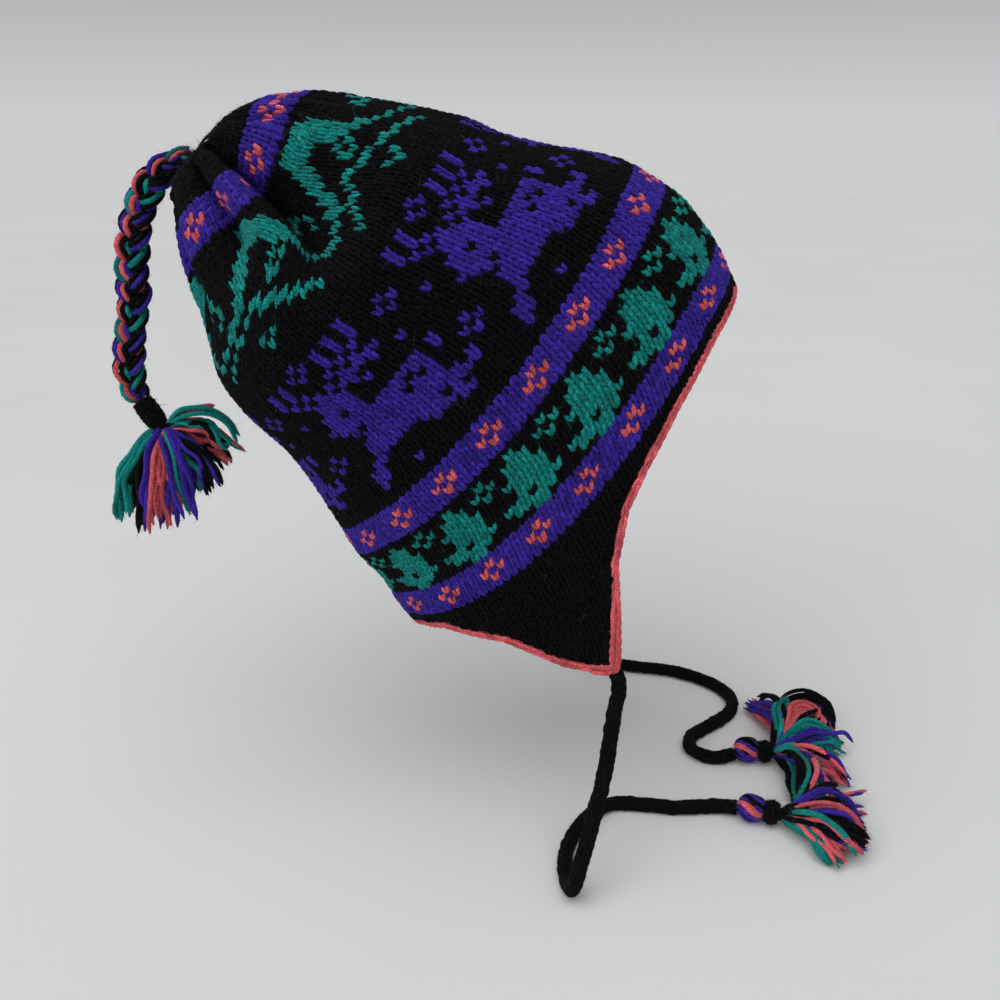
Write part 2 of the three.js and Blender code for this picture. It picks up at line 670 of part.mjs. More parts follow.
function buildHat() {
  const hat = new THREE.Group();
  const fabric = new THREE.Group();
  const topCord = new THREE.Group();
  const rightTie = new THREE.Group();
  const leftTie = new THREE.Group();
  hat.add(fabric, topCord, rightTie, leftTie);

  const grid = fabricGrid();
  addPiece(fabric, "knit_body", knitBody(grid), COLOURS.black);
  const binding = edgeBinding(grid);
  addPiece(fabric, "edge_binding", binding.geometry, COLOURS.coral);

  addPiece(topCord, "top_braid", topBraid(), COLOURS.purple);
  const braidEnd = BRAID_ROUTE[BRAID_ROUTE.length - 1];
  const last = new THREE.Vector3(braidEnd.x, 0, braidEnd.z);
  const topNeck = vector(TOP_TASSEL.neck);
  const topRun = topNeck.clone().sub(last).normalize();
  const root = last.clone().addScaledVector(topRun, CLEARANCE + 1.2);
  addPiece(topCord, "top_tassel", topTassel(root), COLOURS.coral);
  const topWrapInner = TOP_NECK_RADIUS + CLEARANCE;
  addPiece(topCord, "braid_wrap", yarnWrap(
    root.clone().addScaledVector(topRun, 0.6),
    topNeck.clone().addScaledVector(topRun, -5.2),
    topWrapInner, TOP_WRAP_WALL), COLOURS.black);

  const ties = [
    { side: "right", group: rightTie, share: FLAP_POINT_WALE / WALES, route: RIGHT_CORD_ROUTE,
      tassel: RIGHT_TASSEL },
    { side: "left", group: leftTie, share: 1 - FLAP_POINT_WALE / WALES, route: LEFT_CORD_ROUTE,
      tassel: LEFT_TASSEL },
  ];
  for (const tie of ties) {
    const column = Math.round(tie.share * COLUMNS);
    const ring = binding.rings[column];
    const centre = average(ring);
    const outward = centre.clone().sub(grid.outer[0][column]).setY(0).normalize();
    outward.add(new THREE.Vector3(0, 0, -CORD_DROP)).normalize();
    const near = [-1, 1].map((step) => binding.rings[(column + step + COLUMNS) % COLUMNS]);
    const close = ring.concat(...near.map((other) => other.map(
      (point, i) => ring[i].clone().lerp(point, CORD_FOOTPRINT))));
    const reach = Math.max(...close.map((point) => point.clone().sub(centre).dot(outward)));
    const start = centre.clone().addScaledVector(outward, reach + CLEARANCE);
    const cord = tieCord(start, outward, tie.route);
    addPiece(tie.group, `tie_cord_${tie.side}`, cord.geometry, COLOURS.black);
    addPiece(tie.group, `tie_tassel_${tie.side}`, tieTassel(tie.tassel), COLOURS.coral);
    const ball = vector(tie.tassel.ball);
    const neck = vector(tie.tassel.neck);
    const run = neck.clone().sub(ball).normalize();
    addPiece(tie.group, `tie_wrap_${tie.side}`, yarnWrap(
      ball.clone().addScaledVector(run, TIE_BALL_RADIUS + 0.4),
      neck.clone().addScaledVector(run, -4.2),
      TIE_NECK_RADIUS + CLEARANCE, TIE_WRAP_WALL), COLOURS.black);
  }
  return hat;
}

export default buildHat();
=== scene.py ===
"""Chullo hat in its worn form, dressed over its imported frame.

A stranded-knit crown with ear flaps and a crocheted edging, a plaited top cord with a yarn tassel,
and two knitted tie cords that end in yarn balls and tassels. Sizes are in millimetres in the row
frame (+X the hat's front, +Y the wearer's left, +Z up) and turn to metres where a mesh is made.
"""
import logging
import math
from dataclasses import dataclass, field
from enum import Enum
from functools import cached_property
from typing import Any, Sequence

import bpy
import numpy as np
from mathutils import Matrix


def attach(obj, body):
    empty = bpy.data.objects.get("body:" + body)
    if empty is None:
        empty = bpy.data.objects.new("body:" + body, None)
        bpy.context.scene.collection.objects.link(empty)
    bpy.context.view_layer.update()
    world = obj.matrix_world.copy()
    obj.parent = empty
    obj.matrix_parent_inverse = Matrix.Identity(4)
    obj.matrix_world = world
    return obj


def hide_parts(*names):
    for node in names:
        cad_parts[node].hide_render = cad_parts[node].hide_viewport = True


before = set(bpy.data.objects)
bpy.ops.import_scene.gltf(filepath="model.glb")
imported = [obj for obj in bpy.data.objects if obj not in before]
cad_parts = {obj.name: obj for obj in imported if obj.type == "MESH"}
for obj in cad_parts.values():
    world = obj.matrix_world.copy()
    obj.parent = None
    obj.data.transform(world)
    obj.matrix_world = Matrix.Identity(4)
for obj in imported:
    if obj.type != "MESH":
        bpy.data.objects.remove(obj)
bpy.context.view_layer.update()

log = logging.getLogger("chullo_hat")

MM = 0.001
TABLE_HEIGHT = -164.35
BODY = "root"
SEED = 1831

Array = np.ndarray
Rng = np.random.Generator
Point = tuple[float, float, float]
Colour = tuple[float, float, float, float]
Finishes = Sequence[bpy.types.Material]
# Points on a woollen surface, the unit directions out of it, and the yarn number at each
Skin = tuple[Array, Array, Array]


class Yarn(Enum):
    """The four yarns of the hat, as the place of each in a piece's material slots."""

    BLACK = 0
    CORAL = 1
    PURPLE = 2
    TEAL = 3


BLACK, CORAL, PURPLE, TEAL = (yarn.value for yarn in Yarn)


def yarn_numbers(letters: str) -> Array:
    """Read yarns written as letters.

    Args:
        letters: One letter for each yarn: K black, C coral, P purple, T teal.

    Returns:
        Their slot numbers.
    """
    return np.array(["KCPT".index(letter) for letter in letters])


# Finishes


def linear(colour: str) -> Colour:
    """Turn an sRGB hex colour into linear light.

    Args:
        colour: Hex colour such as "#5640b0".

    Returns:
        Red, green and blue in linear light, and full alpha.
    """
    parts = [int(colour[i:i + 2], 16) / 255 for i in (1, 3, 5)]
    red, green, blue = (c / 12.92 if c <= 0.04045 else ((c + 0.055) / 1.055) ** 2.4 for c in parts)
    return red, green, blue, 1.0


def add_node(tree: bpy.types.NodeTree, kind: str, links: dict[Any, Any] | None = None,
             values: dict[Any, Any] | None = None, stops: Sequence[tuple[float, Colour]] = (),
             **settings: Any) -> bpy.types.Node:
    """Add one node with its settings, values and incoming links.

    Args:
        tree: Node tree that takes the node.
        kind: Blender's type name for the node, after the words ShaderNode.
        links: For each input's name or number, the output socket that feeds it.
        values: For each input's name or number, the value that it holds.
        stops: Places and colours along its ramp, if it has one, in rising order.
        **settings: Attributes of the node itself.

    Returns:
        The new node.
    """
    node = tree.nodes.new(f"ShaderNode{kind}")
    for name, value in settings.items():
        setattr(node, name, value)
    for name, value in (values or {}).items():
        node.inputs[name].default_value = value
    for name, output in (links or {}).items():
        tree.links.new(output, node.inputs[name])
    for place, _ in stops[1:-1]:
        node.color_ramp.elements.new(place)
    for stop, (place, colour) in zip(node.color_ramp.elements if stops else (), stops):
        stop.position, stop.color = place, colour
    return node


def bare_material(name: str, colour: str) -> bpy.types.Material:
    """Start a material with an empty node tree.

    Args:
        name: Material name.
        colour: Its hex colour in a plain view.

    Returns:
        The material.
    """
    made = bpy.data.materials.new(name)
    made.use_nodes = True
    made.diffuse_color = linear(colour)
    made.node_tree.nodes.clear()
    return made


def place_object(name: str, data: bpy.types.ID) -> bpy.types.Object:
    """Put new data into the scene as an object.

    Args:
        name: Object name.
        data: Mesh, camera or light.

    Returns:
        The object.
    """
    made = bpy.data.objects.new(name, data)
    bpy.context.scene.collection.objects.link(made)
    return made


@dataclass(frozen=True)
class WoolYarn:
    """Spun wool, two plies twisted together, dyed in the fibre.

    To the eye it is matt with a soft rim of light from the loose fibres on it, painted a little
    darker between the plies as painted shade in the grooves, and mottled over a few millimetres
    because the dye takes unevenly.

    Attributes:
        colour: Lit face of the yarn.
        shade: Colour in the hollows between the plies.
        lift: Colour of the palest fibres.
        rim: Tint of the light that the loose fibres scatter.
        rim_share: How much light those fibres scatter.
        ply_pitch: Length of yarn from one groove between the plies to the next.
        fibre: Width from one fibre to the next.
    """

    name: str
    colour: str
    shade: str
    lift: str
    rim: str
    rim_share: float
    roughness: float = 0.92
    ior: float = 1.54
    ply_pitch: float = 1.25
    fibre: float = 0.22
    mottle: float = 7.0

    def material(self) -> bpy.types.Material:
        """Build the yarn's node tree.

        Returns:
            The material.
        """
        made = bare_material(self.name, self.colour)
        tree = made.node_tree
        place = add_node(tree, "TexCoord")
        # Dye mottle, 7 mm across, in the object's own metres
        mottle = add_node(tree, "TexNoise", {"Vector": place.outputs["Object"]},
                          {"Scale": 1 / (self.mottle * MM), "Detail": 2.0, "Roughness": 0.5})
        # Tone of a single stitch or strand: its UV starts at a place of its own, and this noise
        # hardly changes over the 6 mm of a stitch
        strand = add_node(tree, "TexNoise", {"Vector": place.outputs["UV"]},
                          {"Scale": 0.045, "Detail": 0.0})
        # Single fibres run 0.22 mm apart; they are stretched 9 times along the yarn, whose UV is
        # millimetres along it and across it, and lean 14 degrees with its twist
        along = add_node(tree, "Mapping", {"Vector": place.outputs["UV"]},
                         {"Rotation": (0.0, 0.0, math.radians(14)),
                          "Scale": (1 / (9 * self.fibre), 1 / self.fibre, 1.0)})
        fibres = add_node(tree, "TexNoise", {"Vector": along.outputs["Vector"]},
                          {"Scale": 1.0, "Detail": 3.0, "Roughness": 0.68})
        # Loose plies wind round each other: one groove each 1.25 mm, slanting 32 degrees
        turned = add_node(tree, "Mapping", {"Vector": place.outputs["UV"]},
                          {"Rotation": (0.0, 0.0, math.radians(-32))})
        plies = add_node(tree, "TexWave", {"Vector": turned.outputs["Vector"]},
                         {"Scale": math.pi / 10 / self.ply_pitch, "Distortion": 2.2,
                          "Detail": 2.0, "Detail Scale": 1.5},
                         wave_type="BANDS", bands_direction="X", wave_profile="SIN")
        tone = add_node(tree, "ValToRGB", {"Fac": fibres.outputs["Fac"]}, stops=(
            (0.34, linear(self.shade)), (0.51, linear(self.colour)), (0.70, linear(self.lift))))
        # Painted shade: the yarn's colour is multiplied down to 0.72 in the grooves between the
        # plies
        groove = add_node(tree, "MapRange", {"Value": plies.outputs["Fac"]},
                          {"From Min": 0.0, "From Max": 0.4, "To Min": 0.72, "To Max": 1.0})
        patch = add_node(tree, "MapRange", {"Value": mottle.outputs["Fac"]},
                         {"From Min": 0.3, "From Max": 0.7, "To Min": 0.88, "To Max": 1.1})
        own = add_node(tree, "MapRange", {"Value": strand.outputs["Fac"]},
                       {"From Min": 0.28, "From Max": 0.72, "To Min": 0.66, "To Max": 1.24})
        dark = add_node(tree, "Math",
                        {0: groove.outputs["Result"], 1: patch.outputs["Result"]},
                        operation="MULTIPLY")
        dark = add_node(tree, "Math", {0: dark.outputs[0], 1: own.outputs["Result"]},
                        operation="MULTIPLY")
        grey = add_node(tree, "CombineColor", {
            "Red": dark.outputs[0], "Green": dark.outputs[0], "Blue": dark.outputs[0]})
        # Yarn colour: the dyed tone times the painted groove shade, the dye mottle and each
        # stitch's own tone
        dyed = add_node(tree, "Mix",
                        {6: tone.outputs["Color"], 7: grey.outputs["Color"]}, {0: 1.0},
                        data_type="RGBA", blend_type="MULTIPLY")
        relief = add_node(tree, "Math",
                          {0: fibres.outputs["Fac"], 1: plies.outputs["Fac"]},
                          operation="ADD")
        bump = add_node(tree, "Bump", {"Height": relief.outputs[0]},
                        {"Strength": 0.75, "Distance": 0.32 * MM})
        wool = add_node(tree, "BsdfPrincipled",
                        {"Base Color": dyed.outputs[2], "Normal": bump.outputs["Normal"]},
                        {"Roughness": self.roughness, "IOR": self.ior,
                         "Specular IOR Level": 0.10, "Sheen Weight": self.rim_share,
                         "Sheen Roughness": 0.42, "Sheen Tint": linear(self.rim)})
        add_node(tree, "OutputMaterial", {"Surface": wool.outputs["BSDF"]})
        return made


@dataclass(frozen=True)
class MattBoard:
    """White board with a matt coat, the surface the hat's cords lie on.

    To the eye it is pale and even, with the faintest cloudiness and no gloss.
    """

    name: str = "matt_white_board"
    colour: str = "#e2e3e2"
    cloud: str = "#dfe0e0"
    roughness: float = 0.6

    def material(self) -> bpy.types.Material:
        """Build the board's node tree.

        Returns:
            The material.
        """
        made = bare_material(self.name, self.colour)
        tree = made.node_tree
        place = add_node(tree, "TexCoord")
        # Clouds a third of a metre wide, and a coat whose grain is 0.7 mm
        cloud = add_node(tree, "TexNoise", {"Vector": place.outputs["Object"]},
                         {"Scale": 3.0, "Detail": 1.0, "Roughness": 0.5})
        grain = add_node(tree, "TexNoise", {"Vector": place.outputs["Object"]},
                         {"Scale": 1400.0, "Detail": 2.0, "Roughness": 0.6})
        tone = add_node(tree, "ValToRGB", {"Fac": cloud.outputs["Fac"]}, stops=(
            (0.35, linear(self.cloud)), (0.65, linear(self.colour))))
        bump = add_node(tree, "Bump", {"Height": grain.outputs["Fac"]},
                        {"Strength": 0.15, "Distance": 0.1 * MM})
        board = add_node(tree, "BsdfPrincipled",
                         {"Base Color": tone.outputs["Color"], "Normal": bump.outputs["Normal"]},
                         {"Roughness": self.roughness, "Specular IOR Level": 0.3})
        add_node(tree, "OutputMaterial", {"Surface": board.outputs["BSDF"]})
        return made


@dataclass(frozen=True)
class StrayFibre:
    """A single fibre that has worked loose from the yarn.

    To the eye it is a hair-thin line and gives the wool its soft halo against the light. Its
    colours are paler than its yarn's, most of all at the tip and for the black: painted sheen for
    the light that the thin fibre catches and lets through.

    Attributes:
        colour: Colour at its root.
        tip: Colour where it thins out.
        through: Share of the light that passes through it.
    """

    name: str
    colour: str
    tip: str
    through: float = 0.35
    roughness: float = 0.7

    def material(self) -> bpy.types.Material:
        """Build the fibre's node tree.

        Returns:
            The material.
        """
        made = bare_material(self.name, self.colour)
        tree = made.node_tree
        place = add_node(tree, "TexCoord")
        # Tone drifts from fibre to fibre; each fibre's UV starts at a place of its own
        drift = add_node(tree, "TexNoise", {"Vector": place.outputs["UV"]},
                         {"Scale": 0.12, "Detail": 1.0})
        tone = add_node(tree, "ValToRGB", {"Fac": drift.outputs["Fac"]}, stops=(
            (0.36, linear(self.colour)), (0.66, linear(self.tip))))
        lit = add_node(tree, "BsdfDiffuse", {"Color": tone.outputs["Color"]},
                       {"Roughness": self.roughness})
        behind = add_node(tree, "BsdfTranslucent", {"Color": tone.outputs["Color"]})
        both = add_node(tree, "MixShader",
                        {1: lit.outputs["BSDF"], 2: behind.outputs["BSDF"]},
                        {0: self.through})
        add_node(tree, "OutputMaterial", {"Surface": both.outputs["Shader"]})
        return made


WOOLS = (
    WoolYarn("black_wool", "#060608", "#020203", "#141418", "#77777f", 0.025),
    WoolYarn("coral_wool", "#e85f69", "#a02b38", "#ff9a9c", "#ffd9d6", 0.14),
    WoolYarn("purple_wool", "#3a259d", "#180d55", "#5d46cf", "#c9c0ff", 0.09),
    WoolYarn("teal_wool", "#0b8c85", "#033c3a", "#2cb9b0", "#c6fff4", 0.09),
)
# Loose fibres, paler than their yarns and palest at the tips, most of all the black: painted sheen
# for the light that thin fibres catch
FIBRES = (
    StrayFibre("black_fibre", "#26262b", "#54545c"),
    StrayFibre("coral_fibre", "#d9606a", "#f29a9c"),
    StrayFibre("purple_fibre", "#4b3aa0", "#7d70cc"),
    StrayFibre("teal_fibre", "#1c857a", "#5fbfb2"),
)


@dataclass(frozen=True)
class Palette:
    """The materials of every piece, in the order of the yarns' numbers.

    Attributes:
        yarns: The four yarns.
        fibres: The loose fibres of each.
    """

    yarns: Finishes
    fibres: Finishes


# Mesh building


def unit(vectors: Array) -> Array:
    """Scale vectors to length 1.

    Args:
        vectors: Array whose last axis is x, y, z.

    Returns:
        The unit vectors, with tiny ones left near zero.
    """
    return vectors / np.maximum(np.linalg.norm(vectors, axis=-1, keepdims=True), 1e-9)


def ease(low: float, high: float, value: Array) -> Array:
    """Rise smoothly from 0 at low to 1 at high.

    Args:
        low: Where the rise starts.
        high: Where it ends.
        value: Places to read.

    Returns:
        The smooth step at each place.
    """
    share = np.clip((value - low) / (high - low), 0, 1)
    return share * share * (3 - 2 * share)


@dataclass
class MeshSketch:
    """Grids of points gathered into one mesh, in millimetres.

    Each grid's UV is millimetres along it and across it, which the yarn's twist is drawn in,
    and starts at a place of its own.
    """

    points: list[Array] = field(default_factory=list)
    quads: list[Array] = field(default_factory=list)
    finishes: list[Array] = field(default_factory=list)
    uvs: list[Array] = field(default_factory=list)
    count: int = 0
    rng: Rng = field(default_factory=lambda: np.random.default_rng(SEED + 9))

    def add_grids(self, grids: Array, finish: Array | int, closed: bool = False) -> None:
        """Add a stack of equal grids.

        Args:
            grids: Points as (grid, along, across, xyz).
            finish: Material slot of each grid, or of each of its cells.
            closed: Whether the last point across joins the first.
        """
        number, rows, columns, _ = grids.shape
        if closed:
            grids = np.concatenate([grids, grids[:, :, :1]], axis=2)
        wide = grids.shape[2]
        along = np.zeros((number, rows, wide)) + self.rng.uniform(0, 900, (number, 1, 1))
        across = np.zeros((number, rows, wide)) + self.rng.uniform(0, 900, (number, 1, 1))
        along[:, 1:] += np.cumsum(np.linalg.norm(np.diff(grids, axis=1), axis=-1).mean(
            axis=2, keepdims=True), axis=1)
        across[:, :, 1:] += np.cumsum(np.linalg.norm(np.diff(grids, axis=2), axis=-1).mean(
            axis=1, keepdims=True), axis=2)
        place = np.stack([along, across], axis=-1)
        index = np.arange(number * rows * columns).reshape(number, rows, columns)
        if closed:
            index = np.concatenate([index, index[:, :, :1]], axis=2)
        index = index + self.count
        corners = [(slice(None, -1), slice(None, -1)), (slice(None, -1), slice(1, None)),
                   (slice(1, None), slice(1, None)), (slice(1, None), slice(None, -1))]
        quads = np.stack([index[(slice(None), *c)] for c in corners], axis=-1)
        uvs = np.stack([place[(slice(None), *c)] for c in corners], axis=-2)
        finish = np.asarray(finish)
        if finish.ndim == 1:
            finish = finish[:, None, None]
        self.finishes.append(np.broadcast_to(finish, quads.shape[:3]).reshape(-1))
        self.points.append(grids[:, :, :columns].reshape(-1, 3))
        self.quads.append(quads.reshape(-1, 4))
        self.uvs.append(uvs.reshape(-1, 4, 2))
        self.count += number * rows * columns

    def add_tubes(self, paths: Array, radii: Array | float, sides: int,
                  yarn: Array | int) -> Skin:
        """Add yarns as tubes.

        Args:
            paths: Middles of the yarns as (yarn, step, xyz).
            radii: Radius at each step, or anything that broadcasts to it.
            sides: Points round each ring.
            yarn: Yarn number of each tube, or one for all.

        Returns:
            Their skin, for fibres to grow from.
        """
        tubes = yarn_tubes(paths, radii, sides)
        self.add_grids(tubes, yarn, closed=True)
        return tube_skin(tubes, yarn)

    def build(self, name: str, materials: Finishes) -> bpy.types.Object:
        """Make the object in metres, ride it on the hat and give it its materials.

        Args:
            name: Object name.
            materials: One material for each slot number.

        Returns:
            The new object.
        """
        points = np.concatenate(self.points) * MM
        quads = np.concatenate(self.quads)
        mesh = bpy.data.meshes.new(name)
        mesh.vertices.add(len(points))
        mesh.vertices.foreach_set("co", points.ravel())
        mesh.loops.add(quads.size)
        mesh.loops.foreach_set("vertex_index", quads.ravel().astype(np.int32))
        mesh.polygons.add(len(quads))
        mesh.polygons.foreach_set("loop_start", np.arange(0, quads.size, 4, dtype=np.int32))
        mesh.polygons.foreach_set("material_index",
                                  np.concatenate(self.finishes).astype(np.int32))
        layer = mesh.uv_layers.new(name="yarn_mm")
        layer.data.foreach_set("uv", np.concatenate(self.uvs).ravel())
        mesh.update(calc_edges=True)
        mesh.polygons.foreach_set("use_smooth", np.ones(len(quads), dtype=bool))
        for material in materials:
            mesh.materials.append(material)
        made = place_object(name, mesh)
        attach(made, BODY)
        log.info("%s: %d points, %d triangles", name, len(points), 2 * len(quads))
        return made


CURVE_STEPS = 40


def smooth_path(points: Array, steps: int) -> Array:
    """Run a centripetal Catmull-Rom curve through points and space it evenly.

    Args:
        points: Control points as (point, xyz).
        steps: Number of equal steps.

    Returns:
        steps + 1 points along the curve.
    """
    first = 2 * points[0] - points[1]
    last = 2 * points[-1] - points[-2]
    whole = np.vstack([first, points, last])
    t = np.linspace(0, 1, CURVE_STEPS, endpoint=False)[:, None]
    pieces = []
    for a, b, c, d in zip(whole, whole[1:], whole[2:], whole[3:]):
        before, here, after = (np.sqrt(np.linalg.norm(q - p)) for p, q in ((a, b), (b, c), (c, d)))
        leave = ((b - a) / before - (c - a) / (before + here) + (c - b) / here) * here
        arrive = ((c - b) / here - (d - b) / (here + after) + (d - c) / after) * here
        pieces.append((2 * t**3 - 3 * t**2 + 1) * b + (t**3 - 2 * t**2 + t) * leave
                      + (3 * t**2 - 2 * t**3) * c + (t**3 - t**2) * arrive)
    fine = np.vstack([*pieces, points[-1:]])
    length = np.concatenate([[0], np.cumsum(np.linalg.norm(np.diff(fine, axis=0), axis=1))])
    even = np.linspace(0, length[-1], steps + 1)
    return np.stack([np.interp(even, length, fine[:, k]) for k in range(3)], axis=1)


def turn_free_frames(paths: Array, hint: Array) -> tuple[Array, Array, Array]:
    """Frames along paths that don't turn about them.

    Args:
        paths: Points as (path, step, xyz).
        hint: Rough side direction at each path's start, as (path, xyz) or (xyz).

    Returns:
        Unit tangents, side directions and the third directions, each as (path, step, xyz).
    """
    tangents = unit(np.gradient(paths, axis=1))
    side = np.broadcast_to(hint, paths[:, 0].shape)
    sides = np.empty_like(paths)
    for j in range(paths.shape[1]):
        side = unit(side - (side * tangents[:, j]).sum(-1, keepdims=True) * tangents[:, j])
        sides[:, j] = side
    return tangents, sides, np.cross(tangents, sides)


def path_length(points: Array, steps: int) -> float:
    """Length of the smooth curve through points.

    Args:
        points: Control points as (point, xyz).
        steps: Number of steps it is measured in.

    Returns:
        The length.
    """
    return float(np.linalg.norm(np.diff(smooth_path(points, steps), axis=0), axis=1).sum())


def yarn_tubes(paths: Array, radii: Array | float, sides: int) -> Array:
    """Rings of points round many yarns at once.

    Args:
        paths: Middles of the yarns as (yarn, step, xyz).
        radii: Radius at each step, or anything that broadcasts to it.
        sides: Points round each ring.

    Returns:
        Points as (yarn, step, side, xyz).
    """
    _, side, third = turn_free_frames(paths, np.array([0.31, 0.22, 0.93]))
    turn = np.arange(sides) / sides * 2 * np.pi
    radii = np.broadcast_to(radii, paths.shape[:2])[:, :, None, None]
    ring = (side[:, :, None] * np.cos(turn)[:, None]
            + third[:, :, None] * np.sin(turn)[:, None])
    return paths[:, :, None] + ring * radii


def round_ends(steps: int, blunt: float = 0.12, next_in: float = 0.82) -> Array:
    """Radius factors that close both ends of a yarn like a blunt thumb.

    Args:
        steps: Number of points along the yarn.
        blunt: Factor at the very ends.
        next_in: Factor one point further in.

    Returns:
        Factors as (step).
    """
    factors = np.ones(steps)
    factors[0] = factors[-1] = blunt
    factors[1] = factors[-2] = next_in
    return factors


@dataclass(frozen=True)
class Fuzz:
    """Loose fibres that stand off a woollen surface.

    Attributes:
        length: Shortest and longest fibre.
        width: Width of a fibre at its root.
        lift: How far a fibre leans out of the surface, from 0 to 1.
        floor: Height that no fibre goes under.
    """

    count: int
    length: tuple[float, float]
    width: float
    lift: float
    floor: float = TABLE_HEIGHT + 0.05

    def add(self, sketch: MeshSketch, skins: Sequence[Skin], rng: Rng) -> None:
        """Grow fibres from points picked at random on skins.

        Args:
            sketch: Mesh that takes them.
            skins: Where they can grow.
            rng: Source of the fibres' directions and curls.
        """
        roots, normals, yarns = (np.concatenate(part) for part in zip(*skins))
        pick = rng.integers(0, len(roots), self.count)
        root, out, yarn = roots[pick], normals[pick], yarns[pick]
        flat = rng.normal(0, 1, root.shape)
        flat = unit(flat - (flat * out).sum(-1, keepdims=True) * out)
        aside = np.cross(out, flat)
        long = rng.uniform(*self.length, (self.count, 1)) * rng.uniform(0.5, 1, (self.count, 1))
        rise = self.lift * np.abs(rng.normal(0, 1, (self.count, 1)))
        bend = rng.normal(0, 0.45, (self.count, 1))
        t = np.linspace(0, 1, 4)[None, :, None]
        path = (root[:, None] + flat[:, None] * (long[:, None] * t)
                + out[:, None] * (long * rise)[:, None] * t * (1.35 - 0.75 * t)
                + aside[:, None] * (long * bend)[:, None] * t**2)
        path[..., 2] = np.maximum(path[..., 2], self.floor)
        along = unit(np.gradient(path, axis=1))
        across = unit(np.cross(along, rng.normal(0, 1, (self.count, 1, 3))))
        half = self.width / 2 * np.array([1.0, 0.9, 0.7, 0.25])[None, :, None]
        ribbon = np.stack([path - across * half, path + across * half], axis=2)
        sketch.add_grids(ribbon, yarn)


def tube_skin(tubes: Array, yarn: Array | int) -> Skin:
    """Skin of tubes, for fibres to grow from.

    Args:
        tubes: Points as (yarn, step, side, xyz).
        yarn: Yarn number of each tube, or one for all.

    Returns:
        The skin.
    """
    middle = tubes.mean(axis=2, keepdims=True)
    out = unit(tubes - middle)
    number = np.broadcast_to(np.asarray(yarn).reshape(-1, 1, 1), tubes.shape[:3])
    return tubes.reshape(-1, 3), out.reshape(-1, 3), number.reshape(-1)


def build_halo(name: str, palette: Palette, layers: Sequence[tuple[Fuzz, Sequence[Skin]]],
               rng: Rng) -> bpy.types.Object:
    """Grow the loose fibres of one or more surfaces as one piece.

    Args:
        name: Object name.
        palette: The hat's materials.
        layers: For each kind of fuzz, the skins that it grows on.
        rng: Source of the fibres' directions and curls.

    Returns:
        The piece.
    """
    sketch = MeshSketch()
    for fuzz, skins in layers:
        fuzz.add(sketch, skins, rng)
    return sketch.build(name, palette.fibres)


# Knitted surfaces


@dataclass
class FaceGrid:
    """A face as an even grid of wales and rows, read between its points.

    Attributes:
        points: Points as (wale step, row step, xyz), the first wale repeated at the end.
        lowest: Row of the first row step.
        wale_step: Wales from one grid line to the next.
        row_step: Rows from one grid line to the next.
    """

    points: Array
    lowest: float
    wale_step: float
    row_step: float

    @cached_property
    def normals(self) -> Array:
        """Outward unit normals at the grid's points.

        Returns:
            Unit vectors as (wale step, row step, xyz).
        """
        closed = np.concatenate([self.points[-2:-1], self.points, self.points[1:2]])
        ahead = closed[2:] - closed[:-2]
        up = np.gradient(self.points, axis=1)
        return unit(np.cross(up, ahead))

    def sample(self, wale: Array, row: Array) -> tuple[Array, Array]:
        """Read the face between its grid points.

        Args:
            wale: Wales, which wrap round the hat.
            row: Rows, held inside the grid.

        Returns:
            Points and outward unit normals.
        """
        wales = (self.points.shape[0] - 1) * self.wale_step
        x = np.mod(wale, wales) / self.wale_step
        y = np.clip((row - self.lowest) / self.row_step, 0, self.points.shape[1] - 1.001)
        i = np.minimum(x.astype(int), self.points.shape[0] - 2)
        j = y.astype(int)
        fx = (x - i)[..., None]
        fy = (y - j)[..., None]
        read = []
        for table in (self.points, self.normals):
            low = table[i, j] * (1 - fx) + table[i + 1, j] * fx
            high = table[i, j + 1] * (1 - fx) + table[i + 1, j + 1] * fx
            read.append(low * (1 - fy) + high * fy)
        return read[0], unit(read[1])


